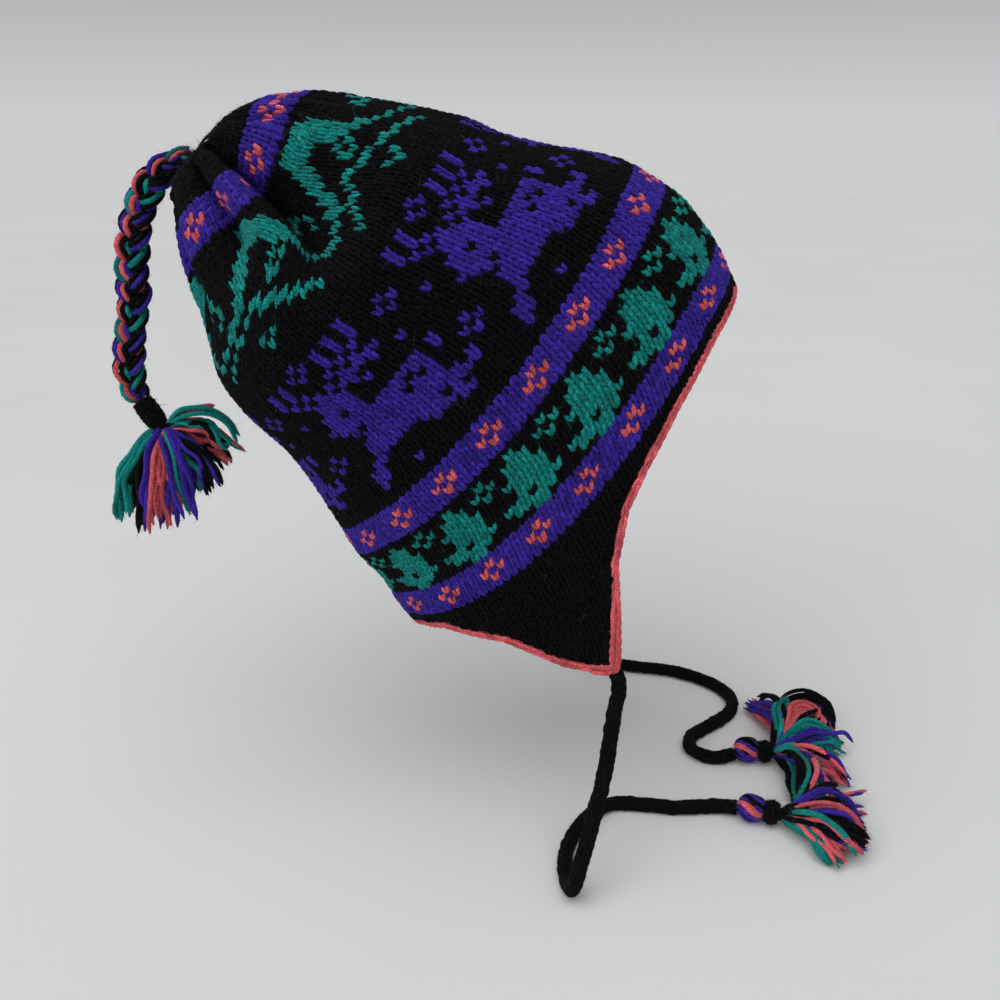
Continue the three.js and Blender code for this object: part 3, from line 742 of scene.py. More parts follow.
@dataclass(frozen=True)
class CrownForm:
    """The worn hat's outer face: sections of the crown, its folds, and how the courses lie.

    The sections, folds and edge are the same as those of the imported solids.

    Attributes:
        tilt: Angle that the crown's axis leans back by.
        wales: Wales that the face is measured in, all round.
        tip_row: Level row at the gathered tip.
        last_row: Knitted row where the face ends, under the plait.
        long_rows_from: Row from which the knitted rows are longer, by long_row_share.
        band_row: Row where the crown starts to close in, band_height up the axis.
        rim_sag: How much lower the rim lies over the ears.
        flap_swing: How far the flaps swing to the nape, over swing_reach below swing_start.
        ear_angle: Angle from the brow to the ear; the spans run from there to the flap's ends.
        fold_fade_radius: Half length of a section under which its folds get shallower.
        lip_share: How far a fold's middle lies behind its lip, as a share of its tuck.
        tilt_grows: Level rows where the courses' tilt starts and is whole.
        tilt_changes: Level rows between which the band's tilt turns into the tip's.
        tilt_fades_from: Level row from which the tilt fades toward the tip.
    """

    crown_height: float = 218.5
    rim_half_length: float = 113.0
    rim_half_width: float = 77.0
    tilt: float = math.radians(47.7)
    wales: int = 120
    tip_row: float = 84.0
    last_row: float = 78.8
    long_rows_from: float = 58.0
    long_row_share: float = 1.25
    lowest_row: float = -19.0
    band_row: float = 20.5
    band_height: float = 52.0
    flap_row_pitch: float = 2.95
    rim_sag: float = 13.0
    flap_swing: float = 35.0
    swing_start: float = 40.0
    swing_reach: float = 103.0
    ear_angle: float = 96.0
    ear_front_span: float = 62.0
    ear_back_span: float = 58.0
    fold_fade_radius: float = 60.0
    lip_share: float = 0.75
    grid_step: float = 0.25
    row_step: float = 0.2
    table_from: float = -70.0
    table_heights: int = 65
    table_angles: int = 241
    tilt_grows: tuple[float, float] = (4.0, 20.5)
    tilt_changes: tuple[float, float] = (42.0, 66.0)
    tilt_fades_from: float = 73.0

    # Height as a share of the crown's, reach to brow and nape as shares of the rim's half
    # length, reach to the ears as a share of the rim's half width
    SECTIONS = np.array([
        (-0.320, 0.920, 0.938, 0.961), (-0.137, 0.956, 0.982, 0.961),
        (0.000, 0.996, 1.000, 0.968), (0.055, 1.035, 0.982, 0.987),
        (0.128, 1.071, 0.934, 1.000), (0.211, 1.088, 0.916, 1.013),
        (0.284, 1.066, 0.863, 1.019), (0.352, 1.029, 0.819, 1.019),
        (0.407, 0.971, 0.783, 1.026), (0.462, 0.901, 0.757, 1.032),
        (0.513, 0.841, 0.748, 1.039), (0.568, 0.783, 0.743, 1.039),
        (0.632, 0.741, 0.721, 1.026), (0.686, 0.683, 0.679, 0.987),
        (0.737, 0.624, 0.615, 0.922), (0.787, 0.562, 0.553, 0.831),
        (0.842, 0.500, 0.500, 0.740), (0.890, 0.433, 0.434, 0.649),
        (0.934, 0.342, 0.358, 0.532), (0.966, 0.257, 0.288, 0.416),
        (0.989, 0.144, 0.254, 0.273), (1.000, 0.010, 0.149, 0.091),
    ])
    # Angle from the brow over the wearer's right, depth, half width in degrees, how far the
    # floor tucks in under the next fabric in degrees, and the shares of the crown height where
    # each gather starts and is whole
    FOLDS = (
        (82, 42, 13, 26, 0.590, 0.750), (108, 24, 8, 11, 0.730, 0.840),
        (150, 19, 9, 0, 0.690, 0.830), (180, 10, 8, 0, 0.740, 0.860),
        (214, 20, 11, 0, 0.670, 0.790), (250, 14, 9, 0, 0.714, 0.833),
        (282, 28, 12, -12, 0.620, 0.770), (316, 10, 8, 0, 0.760, 0.860),
        (344, 9, 9, 0, 0.750, 0.860), (14, 8, 8, 0, 0.780, 0.870),
        (40, 12, 7, 0, 0.790, 0.880),
    )
    # Wale from the brow and row of the fabric's lower edge, the same on both sides
    EDGE = np.array([
        (0, 1.3), (17, 1.3), (22, 0.3), (25.3, -1.2), (28.3, -5.5), (31.6667, -17.2),
        (36.5, -12), (42, -4.2), (48.5, 1.0), (52, 1.3), (60, 1.3),
    ])
    # The courses ride up at the brow and down behind the ear: wale from the brow, and how many
    # rows they are shifted at the upper band and at the gathered tip
    COURSE_TILT = np.array([
        (0, 3.8, 3.9), (3, 3.75, 3.8), (8.6, 3.45, 3.2), (14.5, 2.1, 0.9), (20, 1.0, -1.4),
        (26, -0.25, -2.1), (32, -0.8, -1.8), (37.5, -1.25, -1.3), (43, -1.05, -0.7),
        (48, -0.4, -0.2), (60, 0.0, 0.0),
    ])

    @property
    def up_axis(self) -> Array:
        """Direction up the crown's axis."""
        return np.array([-math.sin(self.tilt), 0.0, math.cos(self.tilt)])

    @property
    def brow_axis(self) -> Array:
        """Direction from the middle toward the brow."""
        return np.array([math.cos(self.tilt), 0.0, math.sin(self.tilt)])

    def reach(self, column: int, height: Array) -> Array:
        """One reach of the section at heights, as a smooth curve through its table.

        Args:
            column: 1 toward the brow, 2 toward the nape, 3 toward the ears.
            height: Heights up the axis.

        Returns:
            The reach in millimetres.
        """
        x, y = self.SECTIONS[:, 0], self.SECTIONS[:, column]
        at = np.clip(height / self.crown_height, x[0], x[-1])
        i = np.clip(np.searchsorted(x, at) - 1, 0, len(x) - 2)
        span = np.diff(x)
        rise = np.diff(y) / span
        slope = np.concatenate([rise[:1], (rise[1:] + rise[:-1]) / 2, rise[-1:]])
        s = (at - x[i]) / span[i]
        share = ((2 * s**3 - 3 * s**2 + 1) * y[i] + (s**3 - 2 * s**2 + s) * span[i] * slope[i]
                 + (3 * s**2 - 2 * s**3) * y[i + 1] + (s**3 - s**2) * span[i] * slope[i + 1])
        return share * (self.rim_half_width if column == 3 else self.rim_half_length)

    def section(self, height: Array, angle: Array) -> tuple[Array, Array]:
        """The crown's section at a height.

        Args:
            height: Heights up the axis.
            angle: Angles from the brow over the wearer's right, in radians.

        Returns:
            Distances toward the brow and toward the wearer's left.
        """
        front, back, side = (self.reach(k, height) for k in (1, 2, 3))
        middle, half = (front - back) / 2, (front + back) / 2
        pull = np.zeros(np.broadcast(height, angle).shape)
        turn = np.zeros(pull.shape)
        for lip, depth, width, tuck, start, whole in self.FOLDS:
            grown = ease(start * self.crown_height, whole * self.crown_height, height)
            fold_middle = lip - self.lip_share * tuck * grown
            away = np.mod(np.degrees(angle) - fold_middle + 180, 360) - 180
            shape = grown * np.exp(-(np.abs(away / width) ** 1.5))
            pull = np.maximum(pull, depth * shape)
            turn = turn + tuck * shape
        kept = 1 - pull * np.minimum(half / self.fold_fade_radius, 1) / half
        turned = angle + np.radians(turn)
        return middle + half * kept * np.cos(turned), -side * kept * np.sin(turned)

    @cached_property
    def climb(self) -> tuple[Array, Array]:
        """The fabric's climb from the upper band to the tip.

        Returns:
            Heights up the axis and the length of fabric to each.
        """
        height = np.linspace(self.band_height, self.crown_height, 201)
        mean = ((self.reach(1, height) + self.reach(2, height)) / 2 + self.reach(3, height)) / 2
        step = np.hypot(np.diff(height), np.diff(mean))
        return height, np.concatenate([[0], np.cumsum(step)])

    def ear_share(self, angle: Array) -> Array:
        """1 over the ear, falling to 0 at the brow and the nape.

        Args:
            angle: Angles in radians.

        Returns:
            The share at each angle.
        """
        turn = np.mod(np.degrees(angle), 360)
        degrees = np.minimum(turn, 360 - turn)
        span = np.where(degrees < self.ear_angle, self.ear_front_span, self.ear_back_span)
        return np.maximum(1 - ((degrees - self.ear_angle) / span) ** 2, 0) ** 1.5

    def row_height(self, row: Array, angle: Array) -> Array:
        """Height up the axis of rows at angles.

        Args:
            row: Rows, 0 at the rim.
            angle: Angles in radians.

        Returns:
            The heights.
        """
        height, length = self.climb
        pitch = length[-1] / (self.tip_row - self.band_row)
        upper = np.interp((row - self.band_row) * pitch, length, height)
        low = -self.rim_sag * self.ear_share(angle)
        rising = low + (self.band_height - low) * row / self.band_row
        lower = np.where(row >= 0, rising, low + row * self.flap_row_pitch)
        return np.where(row >= self.band_row, upper, lower)

    @cached_property
    def angle_tables(self) -> Array:
        """Angles that space the wales evenly by length.

        Returns:
            Angles in radians as (height step, wale step).
        """
        turn = np.linspace(0, 2 * np.pi, self.table_angles)
        tables = []
        for height in np.linspace(self.table_from, self.crown_height, self.table_heights):
            brow, left = self.section(np.full_like(turn, height), turn)
            length = np.concatenate([[0], np.cumsum(np.hypot(np.diff(brow), np.diff(left)))])
            even = np.linspace(0, length[-1], self.table_angles)
            tables.append(np.interp(even, length, turn))
        return np.array(tables)

    def wale_angle(self, share: Array, height: Array) -> Array:
        """Angle of wales at heights.

        Args:
            share: Share of the way round from the brow over the wearer's right.
            height: Heights up the axis.

        Returns:
            Angles in radians.
        """
        tables = self.angle_tables
        last_row, last_column = self.table_heights - 1, self.table_angles - 1
        x = np.clip(share, 0, 1) * last_column
        y = np.clip((height - self.table_from) / (self.crown_height - self.table_from) * last_row,
                    0, last_row)
        i = np.minimum(x.astype(int), last_column - 1)
        j = np.minimum(y.astype(int), last_row - 1)
        low = tables[j, i] * (1 - x + i) + tables[j, i + 1] * (x - i)
        high = tables[j + 1, i] * (1 - x + i) + tables[j + 1, i + 1] * (x - i)
        return low * (1 - y + j) + high * (y - j)

    def place(self, share: Array, row: Array) -> Array:
        """The fabric's outer face where rows lie level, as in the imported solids.

        Args:
            share: Share of the way round.
            row: Rows.

        Returns:
            Points in millimetres.
        """
        angle = self.wale_angle(share, np.full_like(share, self.swing_start))
        height = np.zeros_like(share)
        for _ in range(3):
            height = self.row_height(row, angle)
            angle = self.wale_angle(share, height)
        brow, left = self.section(height, angle)
        below = np.maximum(self.swing_start - height, 0) / self.swing_reach
        swing = self.flap_swing * below**2 * np.sqrt(self.ear_share(angle))
        return (height[..., None] * self.up_axis + (brow - swing)[..., None] * self.brow_axis
                + left[..., None] * np.array([0.0, 1.0, 0.0]))

    def tilted_row(self, wale: Array, row: Array) -> Array:
        """Level row on which a knitted row really lies at a wale.

        Args:
            wale: Wales from the brow.
            row: Knitted rows.

        Returns:
            The level rows.
        """
        near = np.minimum(wale, self.wales - wale)
        band = np.interp(near, self.COURSE_TILT[:, 0], self.COURSE_TILT[:, 1])
        tip = np.interp(near, self.COURSE_TILT[:, 0], self.COURSE_TILT[:, 2])
        level = row + (self.long_row_share - 1) * np.maximum(row - self.long_rows_from, 0)
        high = ease(*self.tilt_changes, level)
        shift = (band * (1 - high) + tip * high) * ease(*self.tilt_grows, level)
        return level + shift * (1 - ease(self.tilt_fades_from, self.tip_row, level))

    def edge_row(self, wale: Array) -> Array:
        """Row of the fabric's lower edge.

        Args:
            wale: Wales.

        Returns:
            The rows.
        """
        turned = np.mod(wale, self.wales)
        near = np.minimum(turned, self.wales - turned)
        return np.interp(near, self.EDGE[:, 0], self.EDGE[:, 1])

    @cached_property
    def face(self) -> FaceGrid:
        """The outer face with its courses tilted.

        Returns:
            The face as a fine grid.
        """
        wales = np.arange(0, self.wales + self.grid_step / 2, self.grid_step)
        rows = np.arange(self.lowest_row, self.last_row + 0.1, self.row_step)
        wale, row = np.meshgrid(wales, rows, indexing="ij")
        points = self.place(wale / self.wales, self.tilted_row(wale, row))
        return FaceGrid(points, self.lowest_row, self.grid_step, self.row_step)


@dataclass(frozen=True)
class Chart:
    """A repeat chart, one text line for each row from the top.

    Attributes:
        lines: Rows from the crown down; # and X are stitches in the pattern's yarn.
        top_row: Row that the first line is knitted on.
        origin: Wale of the first column.
        yarn: Yarn of the pattern.
    """

    lines: tuple[str, ...]
    top_row: int
    origin: int
    yarn: int

    def paint(self, cloth: Array, lowest: int) -> None:
        """Set the yarn of the cloth's stitches that the repeat covers.

        Args:
            cloth: Yarn of each stitch as (wale, row), changed in place.
            lowest: Row of the cloth's first row.
        """
        wales = np.arange(cloth.shape[0])
        for k, line in enumerate(self.lines):
            marks = np.array([mark in "#X" for mark in line])
            column = np.mod(self.origin - wales, len(line))
            cloth[marks[column], self.top_row - k - lowest] = self.yarn


FLOWER = (".X....", "X.X...", ".X....")
LEAF = (
    "...#...#",
    "#.###.#.",
    "..###..#",
    ".#####..",
    "..####..",
    "..####..",
    "###.###.",
    ".#####..",
    "...##...",
)
DEER = (
    "....#...............",
    ".#.#.#.#.#.#.......#",
    ".#..#..#.#.#.......#",
    ".#.....#.#.#...#...#",
    "#.#...#.#.#...#.#...",
    ".#.#.#.#.#.....#....",
    "..###.######........",
    "..####.#..#.......#.",
    ".#####..#....#......",
    ".##.##..............",
    "######..............",
    ".############.#.....",
    "..#.######.##.#.....",
    "...######.#.#....#..",
    "..###########...#.#.",
    "..###########....#..",
    "..############.#....",
    ".##.....###.####....",
    "##.......####.......",
    "##..........##......",
    "#....#..............",
)
VINE = (
    ".....######.............",
    ".....#######............",
    "....########............",
    "...###...###........#...",
    "..###....###.....##.##..",
    "..##....#.##....#.##..#.",
    ".##....#.#.##.........#.",
    ".##....##...#........#..",
    "##..##.......#.........#",
    "#..#..###.....##.......#",
    ".##......##.....##...##.",
    "#..........##.....###...",
    "......#.#....##........#",
    ".......#.......#......#.",
)


@dataclass(frozen=True)
class Tier:
    """Rows, from low to high, that are knitted with the same number of stitches in the round."""

    low: int
    high: int
    stitches: int


@dataclass(frozen=True)
class PatternBook:
    """Which yarn each stitch of the hat is knitted in.

    Attributes:
        wales: Wales that the face is measured in, all round.
        tiers: Rows and their stitches; the crown is drawn in with fewer towards the tip.
        purple_bands: First and last row of each purple band.
        repeats: Charts worked over the ground.
    """

    wales: int = 120
    tiers: tuple[Tier, ...] = (Tier(-19, 62, 120), Tier(63, 79, 78))
    purple_bands: tuple[tuple[int, int], ...] = ((3, 7), (18, 22), (64, 68))
    repeats: tuple[Chart, ...] = (
        Chart(FLOWER, 6, 4, CORAL),
        Chart(LEAF, 16, 3, TEAL),
        Chart(FLOWER, 21, 3, CORAL),
        Chart(DEER, 45, 3, PURPLE),
        Chart(VINE, 62, 45, TEAL),
        Chart(FLOWER, 67, 1, CORAL),
    )

    @cached_property
    def cloths(self) -> list[Array]:
        """Yarn of each stitch.

        Returns:
            One table for each tier, as (stitch, row).
        """
        made = []
        for tier in self.tiers:
            cloth = np.full((tier.stitches, tier.high - tier.low + 1), BLACK)
            for low, high in self.purple_bands:
                if tier.low <= low <= tier.high:
                    cloth[:, low - tier.low:high + 1 - tier.low] = PURPLE
            for repeat in self.repeats:
                if tier.low <= repeat.top_row <= tier.high:
                    repeat.paint(cloth, tier.low)
            made.append(cloth)
        return made

    def yarn_at(self, wale: Array, row: Array) -> Array:
        """Yarn of the stitches at places on the face.

        Args:
            wale: Wales of the face.
            row: Whole rows.

        Returns:
            Yarn numbers.
        """
        yarn = np.full(np.shape(row), BLACK)
        for tier, cloth in zip(self.tiers, self.cloths):
            stitch = np.round(wale * tier.stitches / self.wales).astype(int) % tier.stitches
            high = np.clip(row, tier.low, tier.high) - tier.low
            yarn = np.where((row >= tier.low) & (row <= tier.high), cloth[stitch, high], yarn)
        return yarn


@dataclass(frozen=True)
class StitchShape:
    """One knit stitch: two legs of yarn that part like a V from the stitch below.

    Attributes:
        start: Rows below the stitch's middle where its legs come out.
        end: Rows above it where they go under.
        parting: Wales from the wale's middle to a leg's foot and to its head.
        half_width: Half the width of a leg as a share of the wale, and its limits.
        depth: Depth of a leg's middle line at its stations, in half widths below the face.
        fullness: Width of a leg at its stations.
        across: Angles of the points across a leg, from the face's normal, in degrees.
        uneven: Spread between stitches of a leg's parting, and of its width, as shares, and of
            its shift over the wales and over the rows.
    """

    start: float = -0.80
    end: float = 0.82
    parting: tuple[float, float] = (0.10, 0.36)
    half_width: tuple[float, float, float] = (0.200, 0.40, 1.02)
    depth: tuple[float, ...] = (-1.50, -0.80, -0.50, -0.66, -1.50)
    fullness: tuple[float, ...] = (0.66, 0.95, 1.0, 0.98, 0.66)
    across: tuple[float, ...] = (-84, -30, 30, 84)
    uneven: tuple[float, float, float, float] = (0.05, 0.10, 0.018, 0.035)

    def legs(self, face: FaceGrid, wale: Array, row: Array, rng: Rng,
             wale_pitch: Array, gauge: Array | float = 1.0) -> Array:
        """Both legs of many stitches.

        Args:
            face: The face that the stitches lie on.
            wale: Wale of each stitch's middle.
            row: Row of each stitch's middle.
            rng: Source of unevenness.
            wale_pitch: Width of each stitch, in millimetres.
            gauge: Wales of the face that each stitch takes.

        Returns:
            Points as (leg, station, across, xyz), the two legs of a stitch in turn.
        """
        count = len(wale)
        t = np.linspace(0, 1, len(self.depth))
        side = np.array([-1.0, 1.0])[None, :, None]
        foot, head = self.parting
        apart, wider, over, up = self.uneven
        spread = foot + (head - foot) * t**0.85
        chance = rng.normal(0, 1, (count, 2, 4))
        from_middle = side * spread * (1 + apart * chance[:, :, :1]) + over * chance[:, :1, 1:2]
        w = wale[:, None, None] + np.reshape(gauge, (-1, 1, 1)) * from_middle
        r = (row[:, None, None] + self.start + (self.end - self.start) * t
             + up * chance[:, :, 2:3])
        points, normals = face.sample(w, np.broadcast_to(r, w.shape))
        forward = unit(np.gradient(points, axis=2))
        left = unit(np.cross(normals, forward))
        share, least, most = self.half_width
        even = np.clip(share * wale_pitch, least, most)[:, None, None]
        half = even * np.array(self.fullness) * (1 + wider * chance[:, :, 3:4])
        sunk = np.array(self.depth) * even
        turn = np.radians(self.across)
        raised = (0.98 * half[..., None] * np.cos(turn) + sunk[..., None] + 0.1
                  + 0.12 * chance[:, :, 3:4, None])
        aside = half[..., None] * np.sin(turn)
        made = (points[..., None, :] + left[..., None, :] * aside[..., None]
                + normals[..., None, :] * raised[..., None])
        return made.reshape(count * 2, len(t), len(turn), 3)


# Knitted body

FABRIC_WALL = 3.2
FUZZ_TRIES = 60000


@dataclass
class KnittedBody:
    """The stranded-knit crown with its ear flaps.

    Attributes:
        backing_depth: How far under the face the cloth behind the stitches lies.
        zones: Rows where one piece of the stitches ends and the next starts.
        thin_row: Row above which every second stitch is drawn in under its neighbours.
        thin_pitch: How much wider the stitches left there are.
        edge_clear: How many rows a stitch's middle stays above the fabric's edge.
        purl_bump: How far a row stands out on the inside.
        flat_size: Width and height of the knitted piece laid flat, in metres; not used.
        flat_area: Its area in square metres; not used.
    """

    form: CrownForm
    book: PatternBook
    stitch: StitchShape = StitchShape()
    backing_depth: float = 1.15
    wall: float = FABRIC_WALL
    zones: tuple[int, ...] = (-19, 16, 38, 60, 79)
    thin_row: int = 74
    thin_pitch: float = 1.7
    edge_clear: float = 0.15
    purl_bump: float = 0.35
    flat_size: tuple[float, float] = (0.600, 0.310)
    flat_area: float = 0.150
    fuzz: Fuzz = Fuzz(17500, (1.8, 6.5), 0.09, 0.26)

    def stitch_cells(self, low: int, high: int) -> tuple[Array, Array, Array]:
        """Stitches between two rows, above the fabric's edge.

        Args:
            low: First row.
            high: Row after the last.

        Returns:
            Wale of each stitch's middle, its whole row, and the wales it takes.
        """
        found = []
        for tier in self.book.tiers:
            rows = np.arange(max(low, tier.low), min(high, tier.high + 1))
            stitch, row = np.meshgrid(np.arange(tier.stitches), rows, indexing="ij")
            stitch, row = stitch.ravel(), row.ravel()
            gauge = np.full(len(row), self.form.wales / tier.stitches)
            wale = stitch * gauge
            inside = row + 0.5 > self.form.edge_row(wale) + self.edge_clear
            keep = inside & ~((row >= self.thin_row) & (stitch % 2 == 1))
            found.append((wale[keep], row[keep], gauge[keep]))
        wale, row, gauge = (np.concatenate(part) for part in zip(*found))
        return wale, row, gauge

    def build_stitches(self, palette: Palette) -> list[bpy.types.Object]:
        """Lay every stitch of the outer face, one piece for each zone of rows.

        Args:
            palette: The hat's materials.

        Returns:
            The pieces.
        """
        made = []
        rng = np.random.default_rng(SEED)
        for k, (low, high) in enumerate(zip(self.zones, self.zones[1:])):
            wale, row, gauge = self.stitch_cells(low, high)
            middle = row + 0.5
            left, _ = self.form.face.sample(wale - 0.5 * gauge, middle)
            right, _ = self.form.face.sample(wale + 0.5 * gauge, middle)
            pitch = np.linalg.norm(right - left, axis=1)
            pitch = np.where(row >= self.thin_row, pitch * self.thin_pitch, pitch)
            legs = self.stitch.legs(self.form.face, wale, middle, rng, pitch, gauge)
            sketch = MeshSketch()
            sketch.add_grids(legs, np.repeat(self.book.yarn_at(wale, row), 2))
            piece = sketch.build(f"knit_stitches_{k + 1}", palette.yarns)
            made.append(piece)
        return made

    def build_fuzz(self, palette: Palette) -> bpy.types.Object:
        """Grow loose fibres over the outer face, each from a stitch of its own yarn.

        Args:
            palette: The hat's materials.

        Returns:
            The piece.
        """
        rng = np.random.default_rng(SEED + 5)
        form = self.form
        wale = rng.uniform(0, form.wales, FUZZ_TRIES)
        row = rng.uniform(form.lowest_row, form.last_row - 0.5, len(wale))
        kept = row > form.edge_row(wale) + 0.3
        wale, row = wale[kept], row[kept]
        face, normal = form.face.sample(wale, row)
        yarn = self.book.yarn_at(wale, np.floor(row).astype(int))
        skin = (face + normal * 0.1, normal, yarn)
        piece = build_halo("knit_fuzz", palette, [(self.fuzz, [skin])], rng)
        return piece

    def build_backing(self, palette: Palette) -> bpy.types.Object:
        """Make the cloth behind the stitches: one closed wall with the purl side inside.

        Args:
            palette: The hat's materials.

        Returns:
            The piece that stands for the knitted solid.
        """
        wales = np.arange(0, self.form.wales)
        shares = 1 - (1 - np.linspace(0, 1, 97)) ** 1.04
        low = self.form.edge_row(wales)[:, None]
        rows = low + (self.form.last_row - low) * shares
        grid = np.broadcast_to(wales[:, None], rows.shape).astype(float)
        face, normal = self.form.face.sample(grid, rows)
        outer = face - normal * self.backing_depth
        inner = face - normal * self.wall
        # Purl bumps: each row inside stands out at its middle
        bump = self.purl_bump * np.cos(2 * np.pi * rows) * np.cos(2 * np.pi * grid)
        inner = inner + normal * bump[..., None]
        section = np.concatenate([inner[:, ::-1], outer], axis=1)
        cells = np.concatenate([rows[:, ::-1], rows], axis=1)
        middle = np.floor((cells[:, 1:] + cells[:, :-1]) / 2).astype(int)
        yarn = self.book.yarn_at(np.broadcast_to(wales[:, None], middle.shape), middle)
        # The coral floats lie behind the purple ones on the inside
        inside = np.arange(middle.shape[1]) < rows.shape[1]
        yarn = np.where(inside & (yarn == CORAL), PURPLE, yarn)
        sketch = MeshSketch()
        sketch.add_grids(np.swapaxes(section, 0, 1)[None], yarn.T[None], closed=True)
        piece = sketch.build("knit_cloth", palette.yarns)
        return piece


@dataclass
class CrochetEdging:
    """Chain stitches of coral yarn along the fabric's whole edge.

    Attributes:
        gap: Space between the fabric's edge and the edging.
        link: Length of one chain stitch.
        point_wale: Wale of the flaps' points.
        point_span: Wales on each side of a point where the edging is worked heavier.
        turn_steps: Points along the slip stitches there.
        wale_step: Wales from one point of the edge's line to the next.
    """

    form: CrownForm
    wall: float = FABRIC_WALL
    radius: float = 1.6
    gap: float = 0.3
    link: float = 4.6
    yarn_radius: float = 0.88
    point_wale: float = 31.6667
    point_span: float = 3.2
    turn_steps: int = 26
    wale_step: float = 0.1
    fuzz: Fuzz = Fuzz(1800, (1.2, 4.0), 0.08, 0.5)

    @cached_property
    def edge(self) -> tuple[Array, list[Array]]:
        """The edging's middle line with its directions.

        Returns:
            Length round the hat to each point, and the points, unit outward directions, unit
            directions through the fabric, and how near each is to a flap's point, from 0 to 1.
        """
        wale = np.arange(0, self.form.wales, self.wale_step)
        row = self.form.edge_row(wale)
        face, normal = self.form.face.sample(wale, row)
        middle = face - normal * self.wall / 2
        ahead = unit(np.roll(middle, -3, axis=0) - np.roll(middle, 3, axis=0))
        out = unit(np.cross(normal, ahead))
        centre = middle + out * (self.radius + self.gap)
        near = np.minimum(wale, self.form.wales - wale)
        point = 1 - ease(0, self.point_span, np.abs(near - self.point_wale))
        tables = [np.concatenate([a, a[:1]]) for a in (centre, out, normal, point[:, None])]
        steps = np.linalg.norm(np.diff(tables[0], axis=0), axis=1)
        return np.concatenate([[0], np.cumsum(steps)]), tables

    def read(self, at: Array) -> list[Array]:
        """Read the middle line between its points.

        Args:
            at: Lengths, which wrap round the hat.

        Returns:
            Points, outward directions, directions through the fabric and nearness.
        """
        length, tables = self.edge
        at = np.mod(at, length[-1])
        return [np.stack([np.interp(at, length, t[:, k]) for k in range(t.shape[1])], -1)
                for t in tables]

    def add_core(self, sketch: MeshSketch) -> None:
        """Add the bound edge under the chain.

        Args:
            sketch: Mesh that takes it.
        """
        middle, outward, across, near = self.read(np.arange(0, self.edge[0][-1], 2.2))
        turn = np.arange(8) / 8 * 2 * np.pi
        wide = self.radius * (0.92 + 0.25 * near[:, None])
        ring = (middle[:, None] + outward[:, None] * np.cos(turn)[:, None] * wide
                + across[:, None] * np.sin(turn)[:, None] * wide)
        sketch.add_grids(np.concatenate([ring, ring[:1]])[None], CORAL, closed=True)

    def add_chain(self, sketch: MeshSketch, rng: Rng) -> list[Skin]:
        """Add both arms of every chain stitch, on the outer and the inner face.

        Args:
            sketch: Mesh that takes them.
            rng: Source of unevenness.

        Returns:
            Their skins.
        """
        whole = self.edge[0][-1]
        count = int(round(whole / self.link))
        starts = np.arange(count) * whole / count
        t = np.linspace(0, 1, 6)
        fullness = self.yarn_radius * np.array([0.5, 0.92, 1.0, 1.0, 0.88, 0.45])
        skins = []
        for face_side, arm in ((1.0, 1.0), (1.0, -1.0), (-1.0, 1.0), (-1.0, -1.0)):
            jitter = rng.normal(0, 0.16, (count, 1))
            at = starts[:, None] + self.link * (-0.34 + 1.50 * t) + jitter
            middle, outward, across, near = self.read(at)
            lateral = arm * (0.26 + 1.02 * t**0.8) * (1 + 0.85 * near[..., 0])
            height = 0.95 + 0.42 * np.sin(np.pi * (0.12 + 0.76 * t)) + 0.35 * near[..., 0]
            path = (middle + outward * lateral[..., None]
                    + across * (face_side * height)[..., None])
            radii = fullness * (1 + 0.28 * near[..., 0])
            skins.append(sketch.add_tubes(path, radii, 6, CORAL))
        return skins

    def add_point_turns(self, sketch: MeshSketch) -> list[Skin]:
        """Add a second round of slip stitches where the edging turns at each flap's point.

        Args:
            sketch: Mesh that takes them.

        Returns:
            Their skins.
        """
        length = self.edge[0]
        wale = np.linspace(-self.point_span, self.point_span, self.turn_steps)
        skins = []
        for sign, lane in ((1.0, 0), (1.0, 1), (-1.0, 0), (-1.0, 1)):
            peak = np.interp(sign * self.point_wale % self.form.wales + wale,
                             np.arange(len(length)) * self.wale_step, length)
            middle, outward, across, near = self.read(peak)
            sway = 0.5 * np.sin(np.linspace(0, 9, self.turn_steps) + 2.1 * lane + sign)
            fade = ease(0.02, 0.5, near[:, 0])
            path = (middle + outward * ((1.3 - 2.5 * lane) + sway)[:, None] * fade[:, None]
                    + across * (1.15 + 0.75 * fade)[:, None])
            skins.append(sketch.add_tubes(path[None], round_ends(self.turn_steps, 0.3), 7, CORAL))
        return skins

    def build(self, palette: Palette) -> list[bpy.types.Object]:
        """Work the chain round the edge.

        Args:
            palette: The hat's materials.

        Returns:
            The piece that stands for the edging's solid, and its loose fibres.
        """
        rng = np.random.default_rng(SEED + 1)
        sketch = MeshSketch()
        self.add_core(sketch)
        skins = self.add_chain(sketch, rng) + self.add_point_turns(sketch)
        piece = sketch.build("crochet_edging", palette.yarns)
        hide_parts("edge_binding")
        fluff = build_halo("edging_fuzz", palette, [(self.fuzz, skins)], rng)
        return [piece, fluff]


# Cords, plait, tassels

# Angle from one strand of a bundle to the next, which packs them evenly
GOLDEN = 2.39996


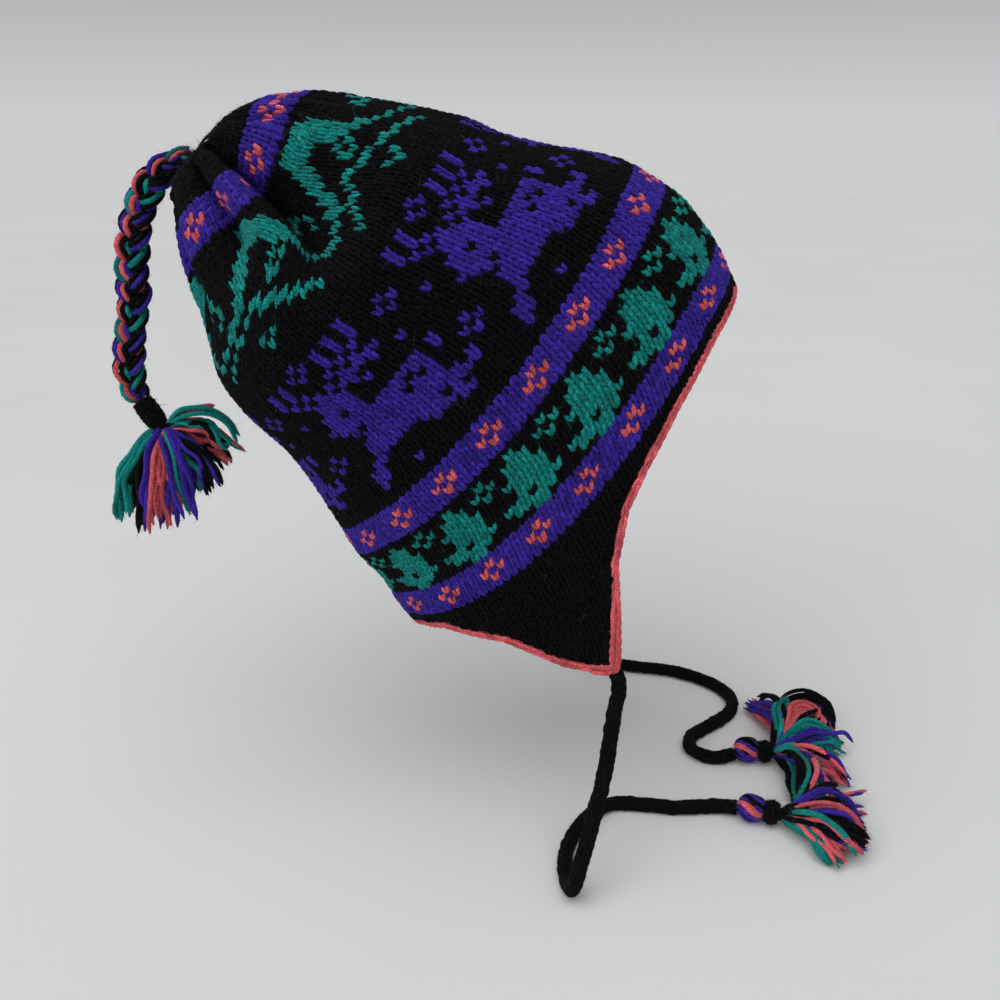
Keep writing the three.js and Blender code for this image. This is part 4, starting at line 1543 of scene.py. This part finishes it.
@dataclass(frozen=True)
class Lock:
    """One lock of a tassel.

    Attributes:
        halfway: Point halfway along the lock.
        yarns: Letters of its yarns, which lie side by side in groups.
        curl: How far its strands curl over at their ends, in millimetres.
        crimp: How far they swing to and fro, which they keep from the plait they were.
        fan: Width of the lock at its stations, as shares of its radius.
    """

    halfway: Point
    end: Point
    radius: float
    yarns: str
    curl: float
    crimp: float = 1.15
    fan: tuple[float, ...] = (0.62, 0.95, 1.05, 1.0, 0.86)

    def paths(self, neck: Array, count: int, steps: int, rng: Rng) -> Array:
        """Middles of the lock's strands, fanned out from the neck.

        Args:
            neck: Point where the lock leaves the wrap.
            count: Number of strands.
            steps: Points along each strand.
            rng: Source of unevenness.

        Returns:
            Points as (strand, step, xyz).
        """
        halfway, end = np.array(self.halfway), np.array(self.end)
        control = 2 * halfway - (neck + end) / 2
        s = np.linspace(0, 1, steps)[:, None]
        spine = neck * (1 - s) ** 2 + 2 * control * s * (1 - s) + end * s**2
        _, side, third = turn_free_frames(spine[None], np.array([0.2, 0.9, 0.35]))
        full = np.interp(s[:, 0], [0, 0.2, 0.5, 0.8, 1], self.fan)
        ring = np.sqrt((np.arange(count) + 0.5) / count)
        turn = np.sort(np.mod(np.arange(count) * GOLDEN + rng.uniform(0, 6.28), 2 * np.pi))
        ring = ring[np.argsort(rng.uniform(0, 1, count))]
        reach = (self.radius - 0.7) * ring[:, None] * full
        phase = rng.uniform(0, 6.28, (2, 1)) + rng.normal(0, 0.7, (count, 2, 1))
        waves = rng.uniform(1.3, 2.3) + rng.normal(0, 0.25, (count, 2, 1))
        crimp = self.crimp * np.sin(2 * np.pi * s[:, 0] * waves + phase) * np.sqrt(s[:, 0])
        heading = rng.uniform(0, 6.28) + rng.normal(0, 0.5, (count, 1))
        over = self.curl * rng.uniform(0.4, 1.3, (count, 1)) * ease(0.5, 1.0, s[:, 0]) ** 1.5
        x = np.cos(turn)[:, None] * reach + crimp[:, 0] + over * np.cos(heading)
        y = np.sin(turn)[:, None] * reach + crimp[:, 1] + over * np.sin(heading)
        stretch = 1 + rng.uniform(-0.16, 0.04, (count, 1, 1))
        base = spine[0] + (spine - spine[0]) * stretch
        return base + side[0] * x[..., None] + third[0] * y[..., None]


@dataclass(frozen=True)
class Curl:
    """A few strands that arch over together.

    Attributes:
        points: Points along them after the neck.
        yarns: Letter of each strand's yarn.
        spread: Radius of the bunch.
    """

    points: tuple[Point, ...]
    yarns: str
    spread: float

    def paths(self, neck: Array, steps: int, rng: Rng) -> Array:
        """Middles of the strands.

        Args:
            neck: Point where they leave the wrap.
            steps: Steps along each strand.
            rng: Source of unevenness.

        Returns:
            Points as (strand, step, xyz).
        """
        made = []
        for k in range(len(self.yarns)):
            reach = self.spread * math.sqrt((k + 0.4) / len(self.yarns))
            turn = GOLDEN * k + rng.uniform(-0.3, 0.3)
            shift = reach * np.array([math.cos(turn), 0.7 * math.sin(turn), math.sin(turn)])
            points = np.array(self.points) + shift + rng.normal(0, 0.6, (len(self.points), 3))
            points[-1] += rng.normal(0, 1.4, 3)
            made.append(smooth_path(np.array([neck, *points]), steps))
        return np.array(made)


@dataclass
class YarnTassel:
    """A bundle of cut yarn ends below its wrap.

    Attributes:
        neck: Point under the wrap where the strands fan out.
        root: Point above the wrap where they come from.
        curls: Bunches of strands that arch over.
        across: Direction over which a lock's colours follow one another.
        floor: Height that no strand goes under.
    """

    neck: Point
    root: Point
    locks: tuple[Lock, ...]
    curls: tuple[Curl, ...] = ()
    across: Point = (0.1, -0.7, 0.7)
    strands: int = 15
    yarn_radius: float = 1.22
    steps: int = 16
    sides: int = 6
    floor: float = TABLE_HEIGHT + 0.2
    fuzz: Fuzz = Fuzz(7400, (1.3, 4.6), 0.1, 0.34)

    def add_bunch(self, sketch: MeshSketch, paths: Array, radii: Array,
                  yarn: Array) -> list[Skin]:
        """Add one bunch of strands.

        Args:
            sketch: Mesh that takes it.
            paths: Middles of the strands.
            radii: Their radii.
            yarn: Their yarns.

        Returns:
            Its skins. The cut ends fray most, so their skin counts twice more.
        """
        tubes = yarn_tubes(paths, radii, self.sides)
        sketch.add_grids(tubes, yarn, closed=True)
        return [tube_skin(tubes, yarn)] + [tube_skin(tubes[:, -4:], yarn)] * 2

    def add_strands(self, sketch: MeshSketch, rng: Rng) -> list[Skin]:
        """Add every strand of the locks and the curls.

        Args:
            sketch: Mesh that takes them.
            rng: Source of unevenness.

        Returns:
            Their skins, for fibres to grow from.
        """
        neck = np.array(self.neck)
        taper = np.ones(self.steps)
        taper[0], taper[-3:] = 0.8, (1.0, 0.9, 0.28)
        skins = []
        for lock in self.locks:
            paths = lock.paths(neck, self.strands, self.steps, rng)
            radii = self.yarn_radius * taper * rng.uniform(0.78, 1.18, (self.strands, 1))
            paths[..., 2] = np.maximum(paths[..., 2], self.floor + radii)
            rank = np.argsort(np.argsort(paths[:, self.steps // 2] @ np.array(self.across)))
            yarn = yarn_numbers(lock.yarns)[rank * len(lock.yarns) // self.strands]
            skins += self.add_bunch(sketch, paths, radii, yarn)
        for curl in self.curls:
            paths = curl.paths(neck, self.steps + 5, rng)
            radii = self.yarn_radius * np.interp(np.linspace(0, 1, paths.shape[1]),
                                                 [0, 0.9, 0.95, 1], [1, 1, 0.9, 0.28])
            radii = radii * rng.uniform(0.85, 1.15, (len(paths), 1))
            paths[..., 2] = np.maximum(paths[..., 2], self.floor + radii)
            skins += self.add_bunch(sketch, paths, radii, yarn_numbers(curl.yarns))
        return skins

    def add_core(self, sketch: MeshSketch, radius: float) -> None:
        """Add the black bundle that runs through the wrap.

        Args:
            sketch: Mesh that takes it.
            radius: Radius of the bundle.
        """
        s = np.linspace(-0.05, 1.15, 7)[:, None]
        path = np.array(self.root) * (1 - s) + np.array(self.neck) * s
        radii = radius * np.array([0.3, 0.95, 1, 1, 1, 0.9, 0.3])
        sketch.add_tubes(path[None], radii, 12, BLACK)


@dataclass
class YarnWrap:
    """Turns of binding yarn round a neck.

    Attributes:
        start: Middle of the first turn.
        end: Middle of the last turn.
        radius: Radius to the middle of the binding yarn.
        slant: How far a turn leans along the neck, in millimetres.
        swell: How much fuller the winding is at its middle, as a share of its radius.
    """

    start: Point
    end: Point
    radius: float
    yarn_radius: float
    slant: float
    swell: float

    def add_turns(self, sketch: MeshSketch, rng: Rng) -> Skin:
        """Wind the yarn.

        Args:
            sketch: Mesh that takes it.
            rng: Source of unevenness.

        Returns:
            The winding's skin, for fibres to grow from.
        """
        start, end = np.array(self.start), np.array(self.end)
        run = end - start
        length = float(np.linalg.norm(run))
        turns = max(length / (1.35 * self.yarn_radius), 2.0)
        steps = int(turns * 14)
        s = np.linspace(0, 1, steps)
        _, side, third = turn_free_frames(np.stack([start, start + run / 2, end])[None],
                                          np.array([0.1, 1.0, 0.1]))
        turn = 2 * np.pi * turns * s
        wobble = 1 + 0.03 * np.sin(turn * 0.37 + rng.uniform(0, 6)) + 0.02 * np.sin(turn * 1.7)
        lean = self.slant * np.cos(turn + 0.6) / length * np.clip(
            np.minimum(s, 1 - s) * 5, 0, 1)
        middle = start + run * (s + lean)[:, None]
        out = side[0, 0] * np.cos(turn)[:, None] + third[0, 0] * np.sin(turn)[:, None]
        fuller = 1 + self.swell * (np.sin(np.pi * s) - 0.5)
        path = middle + out * (self.radius * wobble * fuller)[:, None]
        return sketch.add_tubes(path[None], self.yarn_radius * round_ends(steps), 7, BLACK)


@dataclass
class PlaitedCord:
    """The top cord: three bundles of yarn plaited, wrapped and left loose in a tassel.

    Attributes:
        route: Points along the plait's middle as x, z and width share.
        pitch: Length of the plait in which two bundles cross.
        yarns: Yarns of each bundle: three that face out on its left pass, three on its right.
        core_radius: Radius of the bundle inside the binding.
        wrap: The binding under the plait.
        tassel: The loose yarn below the binding.
    """

    route: tuple[Point, ...] = (
        (-169.6, 140.6, 0.55), (-174.1, 138.6, 0.74), (-178.4, 137.0, 0.92), (-182.8, 134.0, 1.0),
        (-188.2, 128.0, 1.0), (-192.7, 120.4, 1.0), (-196.5, 112.0, 1.0),
        (-199.4, 102.0, 1.0), (-201.2, 92.0, 1.0), (-202.0, 82.0, 1.0),
        (-203.6, 70.0, 1.02), (-206.0, 58.0, 1.02), (-207.6, 46.0, 1.0),
        (-207.2, 36.0, 0.95), (-204.6, 27.8, 0.74),
    )
    width: float = 15.0
    thickness: float = 12.5
    pitch: float = 14.6
    yarn_radius: float = 1.36
    step: float = 1.4
    yarns: tuple[str, ...] = ("CKTKPK", "PCKKTK", "TCPKKP")
    # Where each of a bundle's six yarns lies in it: across it and through it, in millimetres
    LAY = ((-2.35, 0.65), (0.0, 1.15), (2.35, 0.65), (2.2, -0.9), (0.0, -1.35), (-2.2, -0.9))
    core_radius: float = 4.7
    fuzz: Fuzz = Fuzz(5500, (1.5, 5.0), 0.09, 0.5)
    wrap: YarnWrap = field(default_factory=lambda: YarnWrap(
        (-204.3, 0.0, 27.4), (-197.3, 0.0, 16.2), 4.5, 0.75, 2.6, 0.14))
    tassel: YarnTassel = field(default_factory=lambda: YarnTassel(
        (-195.3, 0.0, 13.2), (-204.0, 0.0, 26.4), (
            Lock((-211, -6, -5), (-217, -6, -31), 5.3, "TTTK", 1.5),
            Lock((-205, 8, -6), (-210, 9, -32), 5.3, "KT", 1.5),
            Lock((-201, -11, -5), (-204, -14, -33), 5.6, "KPC", 1.5),
            Lock((-195, -7, -8), (-195, -9, -34), 5.8, "PCCP", 1.2),
            Lock((-196, 13, -6), (-197, 17, -29), 5.3, "TP", 2.0),
            Lock((-188, -10, -3), (-186, -11, -27), 5.5, "CPTP", 2.2),
            Lock((-187, 10, -3), (-184, 12, -24), 5.3, "KP", 2.0),
            Lock((-179, -5, 1), (-172, -6, -16), 5.3, "TPKK", 2.5),
            Lock((-178, 6, 5), (-166, 8, -6), 4.7, "KKC", 2.5),
            Lock((-177, -1, 16), (-162, -1, 6), 3.7, "CKT", 2.5),
        ), (
            Curl(((-184, -3, 23), (-172, -4, 25), (-164, -4, 19), (-160, -4, 11)), "TTT", 1.5),
            Curl(((-186, -1, 20), (-177, -2, 23), (-168.5, -3, 23)), "CC", 1.2),
            Curl(((-184, 1, 16), (-173, 2, 14), (-163.5, 2, 6), (-158, 1, 0)), "CT", 1.6),
            Curl(((-186, -6, 12), (-177, -8, 6), (-170, -9, -4), (-166, -9, -12)), "KP", 1.6),
        ), (1.0, -0.2, 0.0)))

    def add_bundles(self, sketch: MeshSketch, spine: Array, length: float,
                    rng: Rng) -> list[Skin]:
        """Plait the three bundles of yarn.

        Args:
            sketch: Mesh that takes them.
            spine: Even points along the plait's middle.
            length: Length of the plait.
            rng: Source of unevenness.

        Returns:
            Their skins.
        """
        shares = [point[2] for point in self.route]
        s = np.linspace(0, 1, len(spine))
        share = np.interp(s, np.linspace(0, 1, len(shares)), shares)
        _, side, third = turn_free_frames(spine[None], np.array([0.0, 1.0, 0.0]))
        # The plait's flat face looks to the wearer's right, so its width lies in the XZ plane
        flat, near = third[0], -side[0]
        swing_wide = self.width / 2 - 2.0 - self.yarn_radius
        swing_deep = self.thickness / 2 - 1.9 - self.yarn_radius
        knots = np.linspace(0, 1, 15)
        skins = []
        for k, yarns in enumerate(self.yarns):
            phase = s * length / (2 * self.pitch) * 2 * np.pi + k * 2 * np.pi / 3
            x = swing_wide * np.sin(phase) * share
            y = -swing_deep * np.sin(2 * phase) * share
            middle = spine + flat * x[:, None] + near * y[:, None]
            ahead = unit(np.gradient(middle, axis=0))
            across = unit(np.cross(near, ahead))
            out = np.cross(ahead, across)
            # Half a turn between the left pass and the right one brings the other yarns forward
            spin = phase - 7 * np.pi / 4
            paths = []
            for wide, deep in self.LAY:
                drift = [np.interp(s, knots, rng.normal(0, 0.42, len(knots))) for _ in range(2)]
                u = wide * np.cos(spin) - deep * np.sin(spin) + drift[0]
                v = wide * np.sin(spin) * 0.62 + deep * np.cos(spin) + drift[1]
                paths.append(middle + (across * u[:, None] + out * v[:, None]) * share[:, None])
            paths = np.array(paths) + rng.normal(0, 0.06, (len(yarns), len(spine), 3))
            radii = self.yarn_radius * share * round_ends(len(spine), 0.5)
            radii = radii * rng.uniform(0.88, 1.08, (len(yarns), 1))
            skins.append(sketch.add_tubes(paths, radii, 7, yarn_numbers(yarns)))
        return skins

    def build(self, palette: Palette) -> list[bpy.types.Object]:
        """Args:
            palette: The hat's materials.

        Returns:
            Plait, wrap, tassel and their loose fibres.
        """
        rng = np.random.default_rng(SEED + 2)
        control = np.array([(x, 0.0, z) for x, z, _ in self.route])
        length = path_length(control, 400)
        spine = smooth_path(control, int(length / self.step))
        sketch = MeshSketch()
        skins = self.add_bundles(sketch, spine, length, rng)
        plait = sketch.build("plaited_cord", palette.yarns)
        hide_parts("top_braid")

        sketch = MeshSketch()
        skins.append(self.wrap.add_turns(sketch, rng))
        bound = sketch.build("plait_wrap", palette.yarns)
        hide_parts("braid_wrap")

        sketch = MeshSketch()
        self.tassel.add_core(sketch, self.core_radius)
        loose_skins = self.tassel.add_strands(sketch, rng)
        loose = sketch.build("plait_tassel", palette.yarns)
        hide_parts("top_tassel")

        layers = [(self.fuzz, skins), (self.tassel.fuzz, loose_skins)]
        fluff = build_halo("plait_fuzz", palette, layers, rng)
        return [plait, bound, loose, fluff]


class Side(Enum):
    """The wearer's side that a tie hangs on."""

    RIGHT = "right"
    LEFT = "left"


@dataclass
class TieCord:
    """One knitted tie cord with its yarn ball, wrap and tassel.

    Attributes:
        side: The wearer's side that it hangs on.
        route: Points along the cord's middle, from the flap's point.
        ball: Middle of the yarn ball.
        tassel: The loose yarn beyond the wrap.
        wales: Wales round the knitted tube.
        row_pitch: Length of one of its rows.
        core_radius: Radius of the bundle inside the binding.
        ball_yarns: Yarns that run over the ball, in turn round it.
    """

    side: Side
    route: tuple[Point, ...]
    ball: Point
    tassel: YarnTassel
    diameter: float = 6.6
    ball_radius: float = 7.0
    ball_yarn_radius: float = 1.3
    wales: int = 6
    row_pitch: float = 3.3
    wrap_radius: float = 4.35 * 1.08
    core_radius: float = 3.3
    ball_yarns: str = "PKPCCPKPKTKPCPKK"
    stitch: StitchShape = StitchShape(
        half_width=(0.30, 0.45, 1.3), depth=(-1.15, -0.88, -0.76, -0.84, -1.15),
        fullness=(0.75, 0.95, 1.0, 1.0, 0.8))
    fuzz: Fuzz = Fuzz(2200, (1.2, 3.8), 0.08, 0.42)

    def tube_face(self, spine: Array, radius: float) -> FaceGrid:
        """Face of the cord as a grid of wales and rows.

        Args:
            spine: Even points along the cord's middle.
            radius: Radius of the face.

        Returns:
            The face.
        """
        _, side, third = turn_free_frames(spine[None], np.array([0.1, 1.0, 0.1]))
        turn = -np.linspace(0, 2 * np.pi, self.wales * 4 + 1)
        out = (side[0][None] * np.cos(turn)[:, None, None]
               + third[0][None] * np.sin(turn)[:, None, None])
        return FaceGrid(spine[None] + out * radius, 0.0, 0.25, 0.5)

    def add_knit(self, sketch: MeshSketch, spine: Array, rows: int,
                 rng: Rng) -> Skin:
        """Knit the tube, with a core that shows black between its stitches.

        Args:
            sketch: Mesh that takes it.
            spine: Even points along the cord's middle.
            rows: Number of rows.
            rng: Source of unevenness.

        Returns:
            Its skin.
        """
        radius = self.diameter / 2
        wale, row = np.meshgrid(np.arange(self.wales), np.arange(rows), indexing="ij")
        wale, row = wale.ravel().astype(float), row.ravel() + 0.5
        pitch = np.full(len(wale), 2 * np.pi * radius / self.wales)
        face = self.tube_face(spine, radius)
        sketch.add_grids(self.stitch.legs(face, wale, row, rng, pitch), BLACK)
        sketch.add_tubes(spine[None], (radius - 0.8) * round_ends(len(spine), 0.1), 10, BLACK)
        return tube_skin(yarn_tubes(spine[None], radius - 0.1, 12), BLACK)

    def build(self, palette: Palette) -> list[bpy.types.Object]:
        """Args:
            palette: The hat's materials.

        Returns:
            Cord, wrap, tassel and their loose fibres.
        """
        side = self.side.value
        rng = np.random.default_rng(SEED + (3 if self.side is Side.RIGHT else 4))
        control = np.array(self.route)
        length = path_length(control, 900)
        rows = int(length / self.row_pitch)
        spine = smooth_path(control, rows * 2)
        sketch = MeshSketch()
        skins = [self.add_knit(sketch, spine, rows, rng)]
        cord = sketch.build(f"knitted_tie_{side}", palette.yarns)
        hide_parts(f"tie_cord_{side}")

        neck, ball = np.array(self.tassel.neck), np.array(self.ball)
        run = unit(neck - ball)
        sketch = MeshSketch()
        wrap = YarnWrap(tuple(ball + run * (self.ball_radius - 0.9)), tuple(neck - run * 3.0),
                        self.wrap_radius, 0.72, 0.9, 0.24)
        skins.append(wrap.add_turns(sketch, rng))
        bound = sketch.build(f"tie_binding_{side}", palette.yarns)
        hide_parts(f"tie_wrap_{side}")

        sketch = MeshSketch()
        loose_skins = [self.add_ball(sketch, ball, run, rng)]
        self.tassel.add_core(sketch, self.core_radius)
        loose_skins += self.tassel.add_strands(sketch, rng)
        loose = sketch.build(f"tie_yarn_ends_{side}", palette.yarns)
        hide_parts(f"tie_tassel_{side}")

        layers = [(self.fuzz, skins), (self.tassel.fuzz, loose_skins)]
        fluff = build_halo(f"tie_fuzz_{side}", palette, layers, rng)
        return [cord, bound, loose, fluff]

    def add_ball(self, sketch: MeshSketch, ball: Array, run: Array,
                 rng: Rng) -> Skin:
        """Lay lengthwise yarns over the ball, from the cord to the wrap.

        Args:
            sketch: Mesh that takes them.
            ball: Middle of the ball.
            run: Unit direction from the cord to the tassel.
            rng: Source of unevenness.

        Returns:
            The ball's skin, for fibres to grow from.
        """
        _, side, third = turn_free_frames(np.stack([ball - run, ball, ball + run])[None],
                                          np.array([0.1, 0.2, 1.0]))
        count = len(self.ball_yarns)
        yarn_radius = self.ball_yarn_radius
        t = np.linspace(-1, 1, 15)
        turn = (np.arange(count) / count * 2 * np.pi + rng.normal(0, 0.09, count))[:, None]
        turn = turn + 0.7 * t[None] + rng.normal(0, 0.16, (count, 1)) * np.cos(2.5 * t)[None]
        swell = (self.ball_radius - yarn_radius) * np.sqrt(np.maximum(1 - (0.95 * t) ** 2, 0))
        swell = swell[None] * rng.uniform(0.86, 1.0, (count, 1))
        out = (side[0, 1] * np.cos(turn)[..., None] + third[0, 1] * np.sin(turn)[..., None])
        path = (ball + run * (t * self.ball_radius * 0.9)[:, None] + out * swell[..., None])
        radii = yarn_radius * (0.5 + 0.5 * np.sqrt(np.maximum(1 - t**2, 0)))
        radii = radii * rng.uniform(0.85, 1.1, (count, 1))
        skin = sketch.add_tubes(path, radii, 7, yarn_numbers(self.ball_yarns))
        inside = ball + run * (t * self.ball_radius * 0.8)[:, None]
        sketch.add_tubes(inside[None], 0.1 + np.maximum(swell[:1] - 0.6, 0), 10, BLACK)
        return skin


# Height of a tie's middle where it lies on the table
LIES = -160.9


def right_tie() -> TieCord:
    """The tie on the wearer's right, nearest the camera.

    Returns:
        Its sizes.
    """
    route = (
        (19.68, -72.27, -79.22), (21.66, -72.27, -85.52), (18.3, -84.5, -95),
        (14.6, -95.5, -112), (8.6, -108.5, -130), (3.4, -118.5, -143.5), (0.4, -123.8, -151),
        (-1.2, -122.0, -157.6), (-2.4, -115.0, LIES), (-3.0, -105.5, LIES),
        (-2.6, -96.0, LIES), (-0.2, -86.5, LIES), (4.3, -76.5, LIES),
        (10.6, -66.5, LIES), (17.8, -59.3, LIES), (26.0, -56.3, LIES),
        (38.0, -57.6, LIES), (50.0, -59.5, LIES), (62.5, -59.4, LIES),
        (73.5, -59.0, -160.7), (82.6, -62.0, -159.1),
    )
    locks = (
        Lock((112, -85, -156), (123, -101, -160), 4.1, "TTC", 2.5),
        Lock((116, -85, -152), (132, -97, -158), 4.9, "CPK", 2.5),
        Lock((118, -81, -151), (136, -90, -157), 5.1, "PCK", 3.0),
        Lock((120, -76, -152), (137, -81, -158), 4.9, "PPK", 3.0),
        Lock((120, -71, -155), (138, -72, -159), 4.1, "KT", 3.0),
        Lock((121, -68, -157), (147, -63, -160.4), 3.4, "CP", 2.5),
        Lock((114, -78, -159.6), (128, -86, -160.6), 4.4, "TK", 2.0),
    )
    curls = (
        Curl(((111, -77, -149), (120, -83, -143), (129, -84, -146), (133, -89, -154)), "CCP", 2.0),
        Curl(((111, -74, -148), (121, -75, -142), (131, -76, -146), (137, -79, -154)), "PPK", 2.0),
        Curl(((109, -80, -150), (116, -89, -146), (124, -95, -150), (129, -99, -157)), "TTC", 2.0),
        Curl(((112, -71, -150), (122, -66, -145), (133, -64, -149)), "KK", 1.4),
        Curl(((115, -66, -155), (130, -59, -157), (146, -55, -158)), "CP", 1.5),
    )
    tassel = YarnTassel((103.5, -70.5, -157.6), (95.0, -67.2, -157.4), locks, curls)
    return TieCord(Side.RIGHT, route, (89.2, -65.0, -157.2), tassel)


def left_tie() -> TieCord:
    """The tie on the wearer's left.

    Returns:
        Its sizes.
    """
    route = (
        (19.68, 72.27, -79.22), (21.66, 72.27, -85.52), (21.0, 79.0, -100), (22.5, 80.0, -120),
        (24.6, 81.5, -140), (28.0, 83.0, -152), (34.0, 83.8, -159.4), (43.0, 83.2, LIES),
        (55.0, 80.0, LIES), (67.0, 77.4, LIES), (79.0, 72.0, LIES), (90.0, 63.6, LIES),
        (97.8, 54.0, LIES), (101.2, 42.0, LIES), (97.6, 29.0, LIES),
        (89.0, 19.2, LIES), (79.4, 11.2, LIES), (71.6, 3.4, LIES), (69.0, -5.6, LIES),
        (73.0, -13.8, LIES), (81.6, -17.2, -160.6), (90.4, -16.2, -159.0),
    )
    locks = (
        Lock((120, 4, -154), (110, 41, -160), 5.2, "CCPP", 3.0),
        Lock((124, 8, -149), (138, 27, -152), 5.2, "KKT", 6.0),
        Lock((133, 0, -147), (148, 14, -153), 5.5, "CCK", 7.0),
        Lock((134, -14, -150), (154, -8, -157), 5.2, "TTP", 5.0),
        Lock((122, -36, -151), (124, -58, -158), 5.5, "PCTT", 3.5),
        Lock((117, -38, -157), (112, -61, -160), 4.5, "KKT", 2.5),
        Lock((128, -32, -153), (144, -43, -159), 4.5, "KPC", 3.5),
        Lock((126, -14, -158), (140, -20, -160), 4.8, "TTK", 2.5),
    )
    curls = (
        Curl(((119, -6, -150), (124, 4, -145), (133, 6, -144), (138, 0, -147), (133, -6, -151)),
             "CCCCCC", 3.2),
        Curl(((119, -2, -151), (123, 11, -146), (133, 16, -144), (143, 10, -145.5),
              (147, 1, -152)), "KKPKKKK", 3.4),
        Curl(((118, -6, -149), (118, 5, -143), (114, 13, -142), (109, 17, -147)), "KKPK", 2.4),
        Curl(((115, -8, -149), (116, 2, -144), (121, 7, -143), (125, 4, -149)), "TTTT", 2.6),
        Curl(((119, -14, -150), (128, -11, -145), (137, -13, -147), (146, -15, -155)),
             "TTTTT", 2.8),
        Curl(((119, -26, -149), (127, -34, -145), (136, -38, -148), (142, -44, -156)), "PCK", 2.0),
        Curl(((116, -30, -150), (116, -42, -145), (115, -53, -146), (112, -62, -154)), "KKP", 2.2),
        Curl(((120, -32, -149), (123, -44, -144), (126, -54, -147), (129, -62, -155)), "CPC", 1.8),
        Curl(((119, -30, -150), (121, -45, -145), (119, -58, -144), (113, -66, -148),
              (110, -70, -153)), "KTPCK", 2.8),
    )
    tassel = YarnTassel((112.0, -18.5, -156.8), (103.0, -16.6, -157.1), locks, curls)
    return TieCord(Side.LEFT, route, (97.4, -15.2, -157.2), tassel)


# Studio


@dataclass
class Studio:
    """Camera at the photograph's angle, soft light and a plain pale table.

    Attributes:
        sky: Colour of the pale room.
        sky_levels: Brightness of the room by the height of a direction, level to straight up.
        daylight_spread: Angle that the diffused daylight comes from.
        daylight_turn: Turn of its direction from straight down.
        window_at: Place of the window's softbox; window_aim is where it looks.
        table_half: Half the table's width.
    """

    camera_at: Point = (-0.0323, -0.4997, 0.15865)
    pitch_down: float = math.radians(20)
    lens: float = 38.6
    sensor: float = 36.0
    sky: str = "#f4f5f7"
    sky_levels: tuple[tuple[float, float], ...] = (
        (0.0, 0.655), (0.10, 0.49), (0.35, 0.31), (1.0, 0.36))
    daylight: float = 1.85
    daylight_spread: float = math.radians(80)
    daylight_turn: Point = (math.radians(22), math.radians(-14), 0.0)
    window_at: Point = (-1.1, -1.1, 0.9)
    window_aim: Point = (-0.05, 0.0, 0.0)
    window_size: float = 0.9
    window_power: float = 3.0
    table_half: float = 30.0

    def build_camera(self) -> None:
        """Place the camera and make it the scene's own."""
        data = bpy.data.cameras.new("studio_camera")
        data.lens = self.lens
        data.sensor_width = self.sensor
        data.clip_start = 0.01
        camera = place_object("studio_camera", data)
        camera.location = self.camera_at
        camera.rotation_euler = (math.pi / 2 - self.pitch_down, 0.0, 0.0)
        bpy.context.scene.camera = camera

    def build_room(self) -> None:
        """Set the pale surroundings, brightest low down, where the table passes into them."""
        world = bpy.data.worlds.new("pale_room")
        world.use_nodes = True
        tree = world.node_tree
        tree.nodes.clear()
        place = add_node(tree, "TexCoord")
        parts = add_node(tree, "SeparateXYZ", {"Vector": place.outputs["Generated"]})
        glow = add_node(tree, "ValToRGB", {"Fac": parts.outputs["Z"]}, stops=[
            (height, (level, level, level, 1.0)) for height, level in self.sky_levels])
        sky = add_node(tree, "Background", {"Strength": glow.outputs["Color"]},
                       {"Color": linear(self.sky)})
        add_node(tree, "OutputWorld", {"Surface": sky.outputs["Background"]})
        bpy.context.scene.world = world

    def build_lamps(self) -> None:
        """Hang the diffused daylight and the window's softbox."""
        daylight = bpy.data.lights.new("diffused_daylight", "SUN")
        daylight.angle = self.daylight_spread
        daylight.energy = self.daylight
        lamp = place_object("diffused_daylight", daylight)
        lamp.rotation_euler = self.daylight_turn
        window = bpy.data.lights.new("window_softbox", "AREA")
        window.size = self.window_size
        window.energy = self.window_power
        lamp = place_object("window_softbox", window)
        lamp.location = self.window_at
        aim = np.array(self.window_aim) - np.array(self.window_at)
        yaw = math.atan2(aim[1], aim[0]) - math.pi / 2
        tip = math.atan2(math.hypot(aim[0], aim[1]), -aim[2])
        lamp.rotation_euler = (tip, 0.0, yaw)

    def build_table(self) -> None:
        """Lay the plain pale table."""
        half = self.table_half
        mesh = bpy.data.meshes.new("pale_table")
        corners = [(-half, -half), (half, -half), (half, half), (-half, half)]
        mesh.from_pydata([(x, y, TABLE_HEIGHT * MM) for x, y in corners], [], [(0, 1, 2, 3)])
        mesh.materials.append(MattBoard().material())
        table = place_object("pale_table", mesh)


def main() -> None:
    """Build the hat in order and report each part."""
    logging.basicConfig(level=logging.INFO, format="%(message)s")
    bpy.context.scene.view_settings.view_transform = "Standard"
    studio = Studio()
    studio.build_camera()
    palette = Palette([wool.material() for wool in WOOLS], [hair.material() for hair in FIBRES])
    for cord in (PlaitedCord(), right_tie(), left_tie()):
        for piece in cord.build(palette):
            log.info("cord piece %s", piece.name)
    form = CrownForm()
    body = KnittedBody(form, PatternBook())
    cloth = body.build_backing(palette)
    stitches = body.build_stitches(palette)
    fuzz = body.build_fuzz(palette)
    edging = CrochetEdging(form).build(palette)
    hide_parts("knit_body")
    studio.build_room()
    studio.build_lamps()
    studio.build_table()
    log.info("sizes written")


if __name__ == "__main__":
    main()
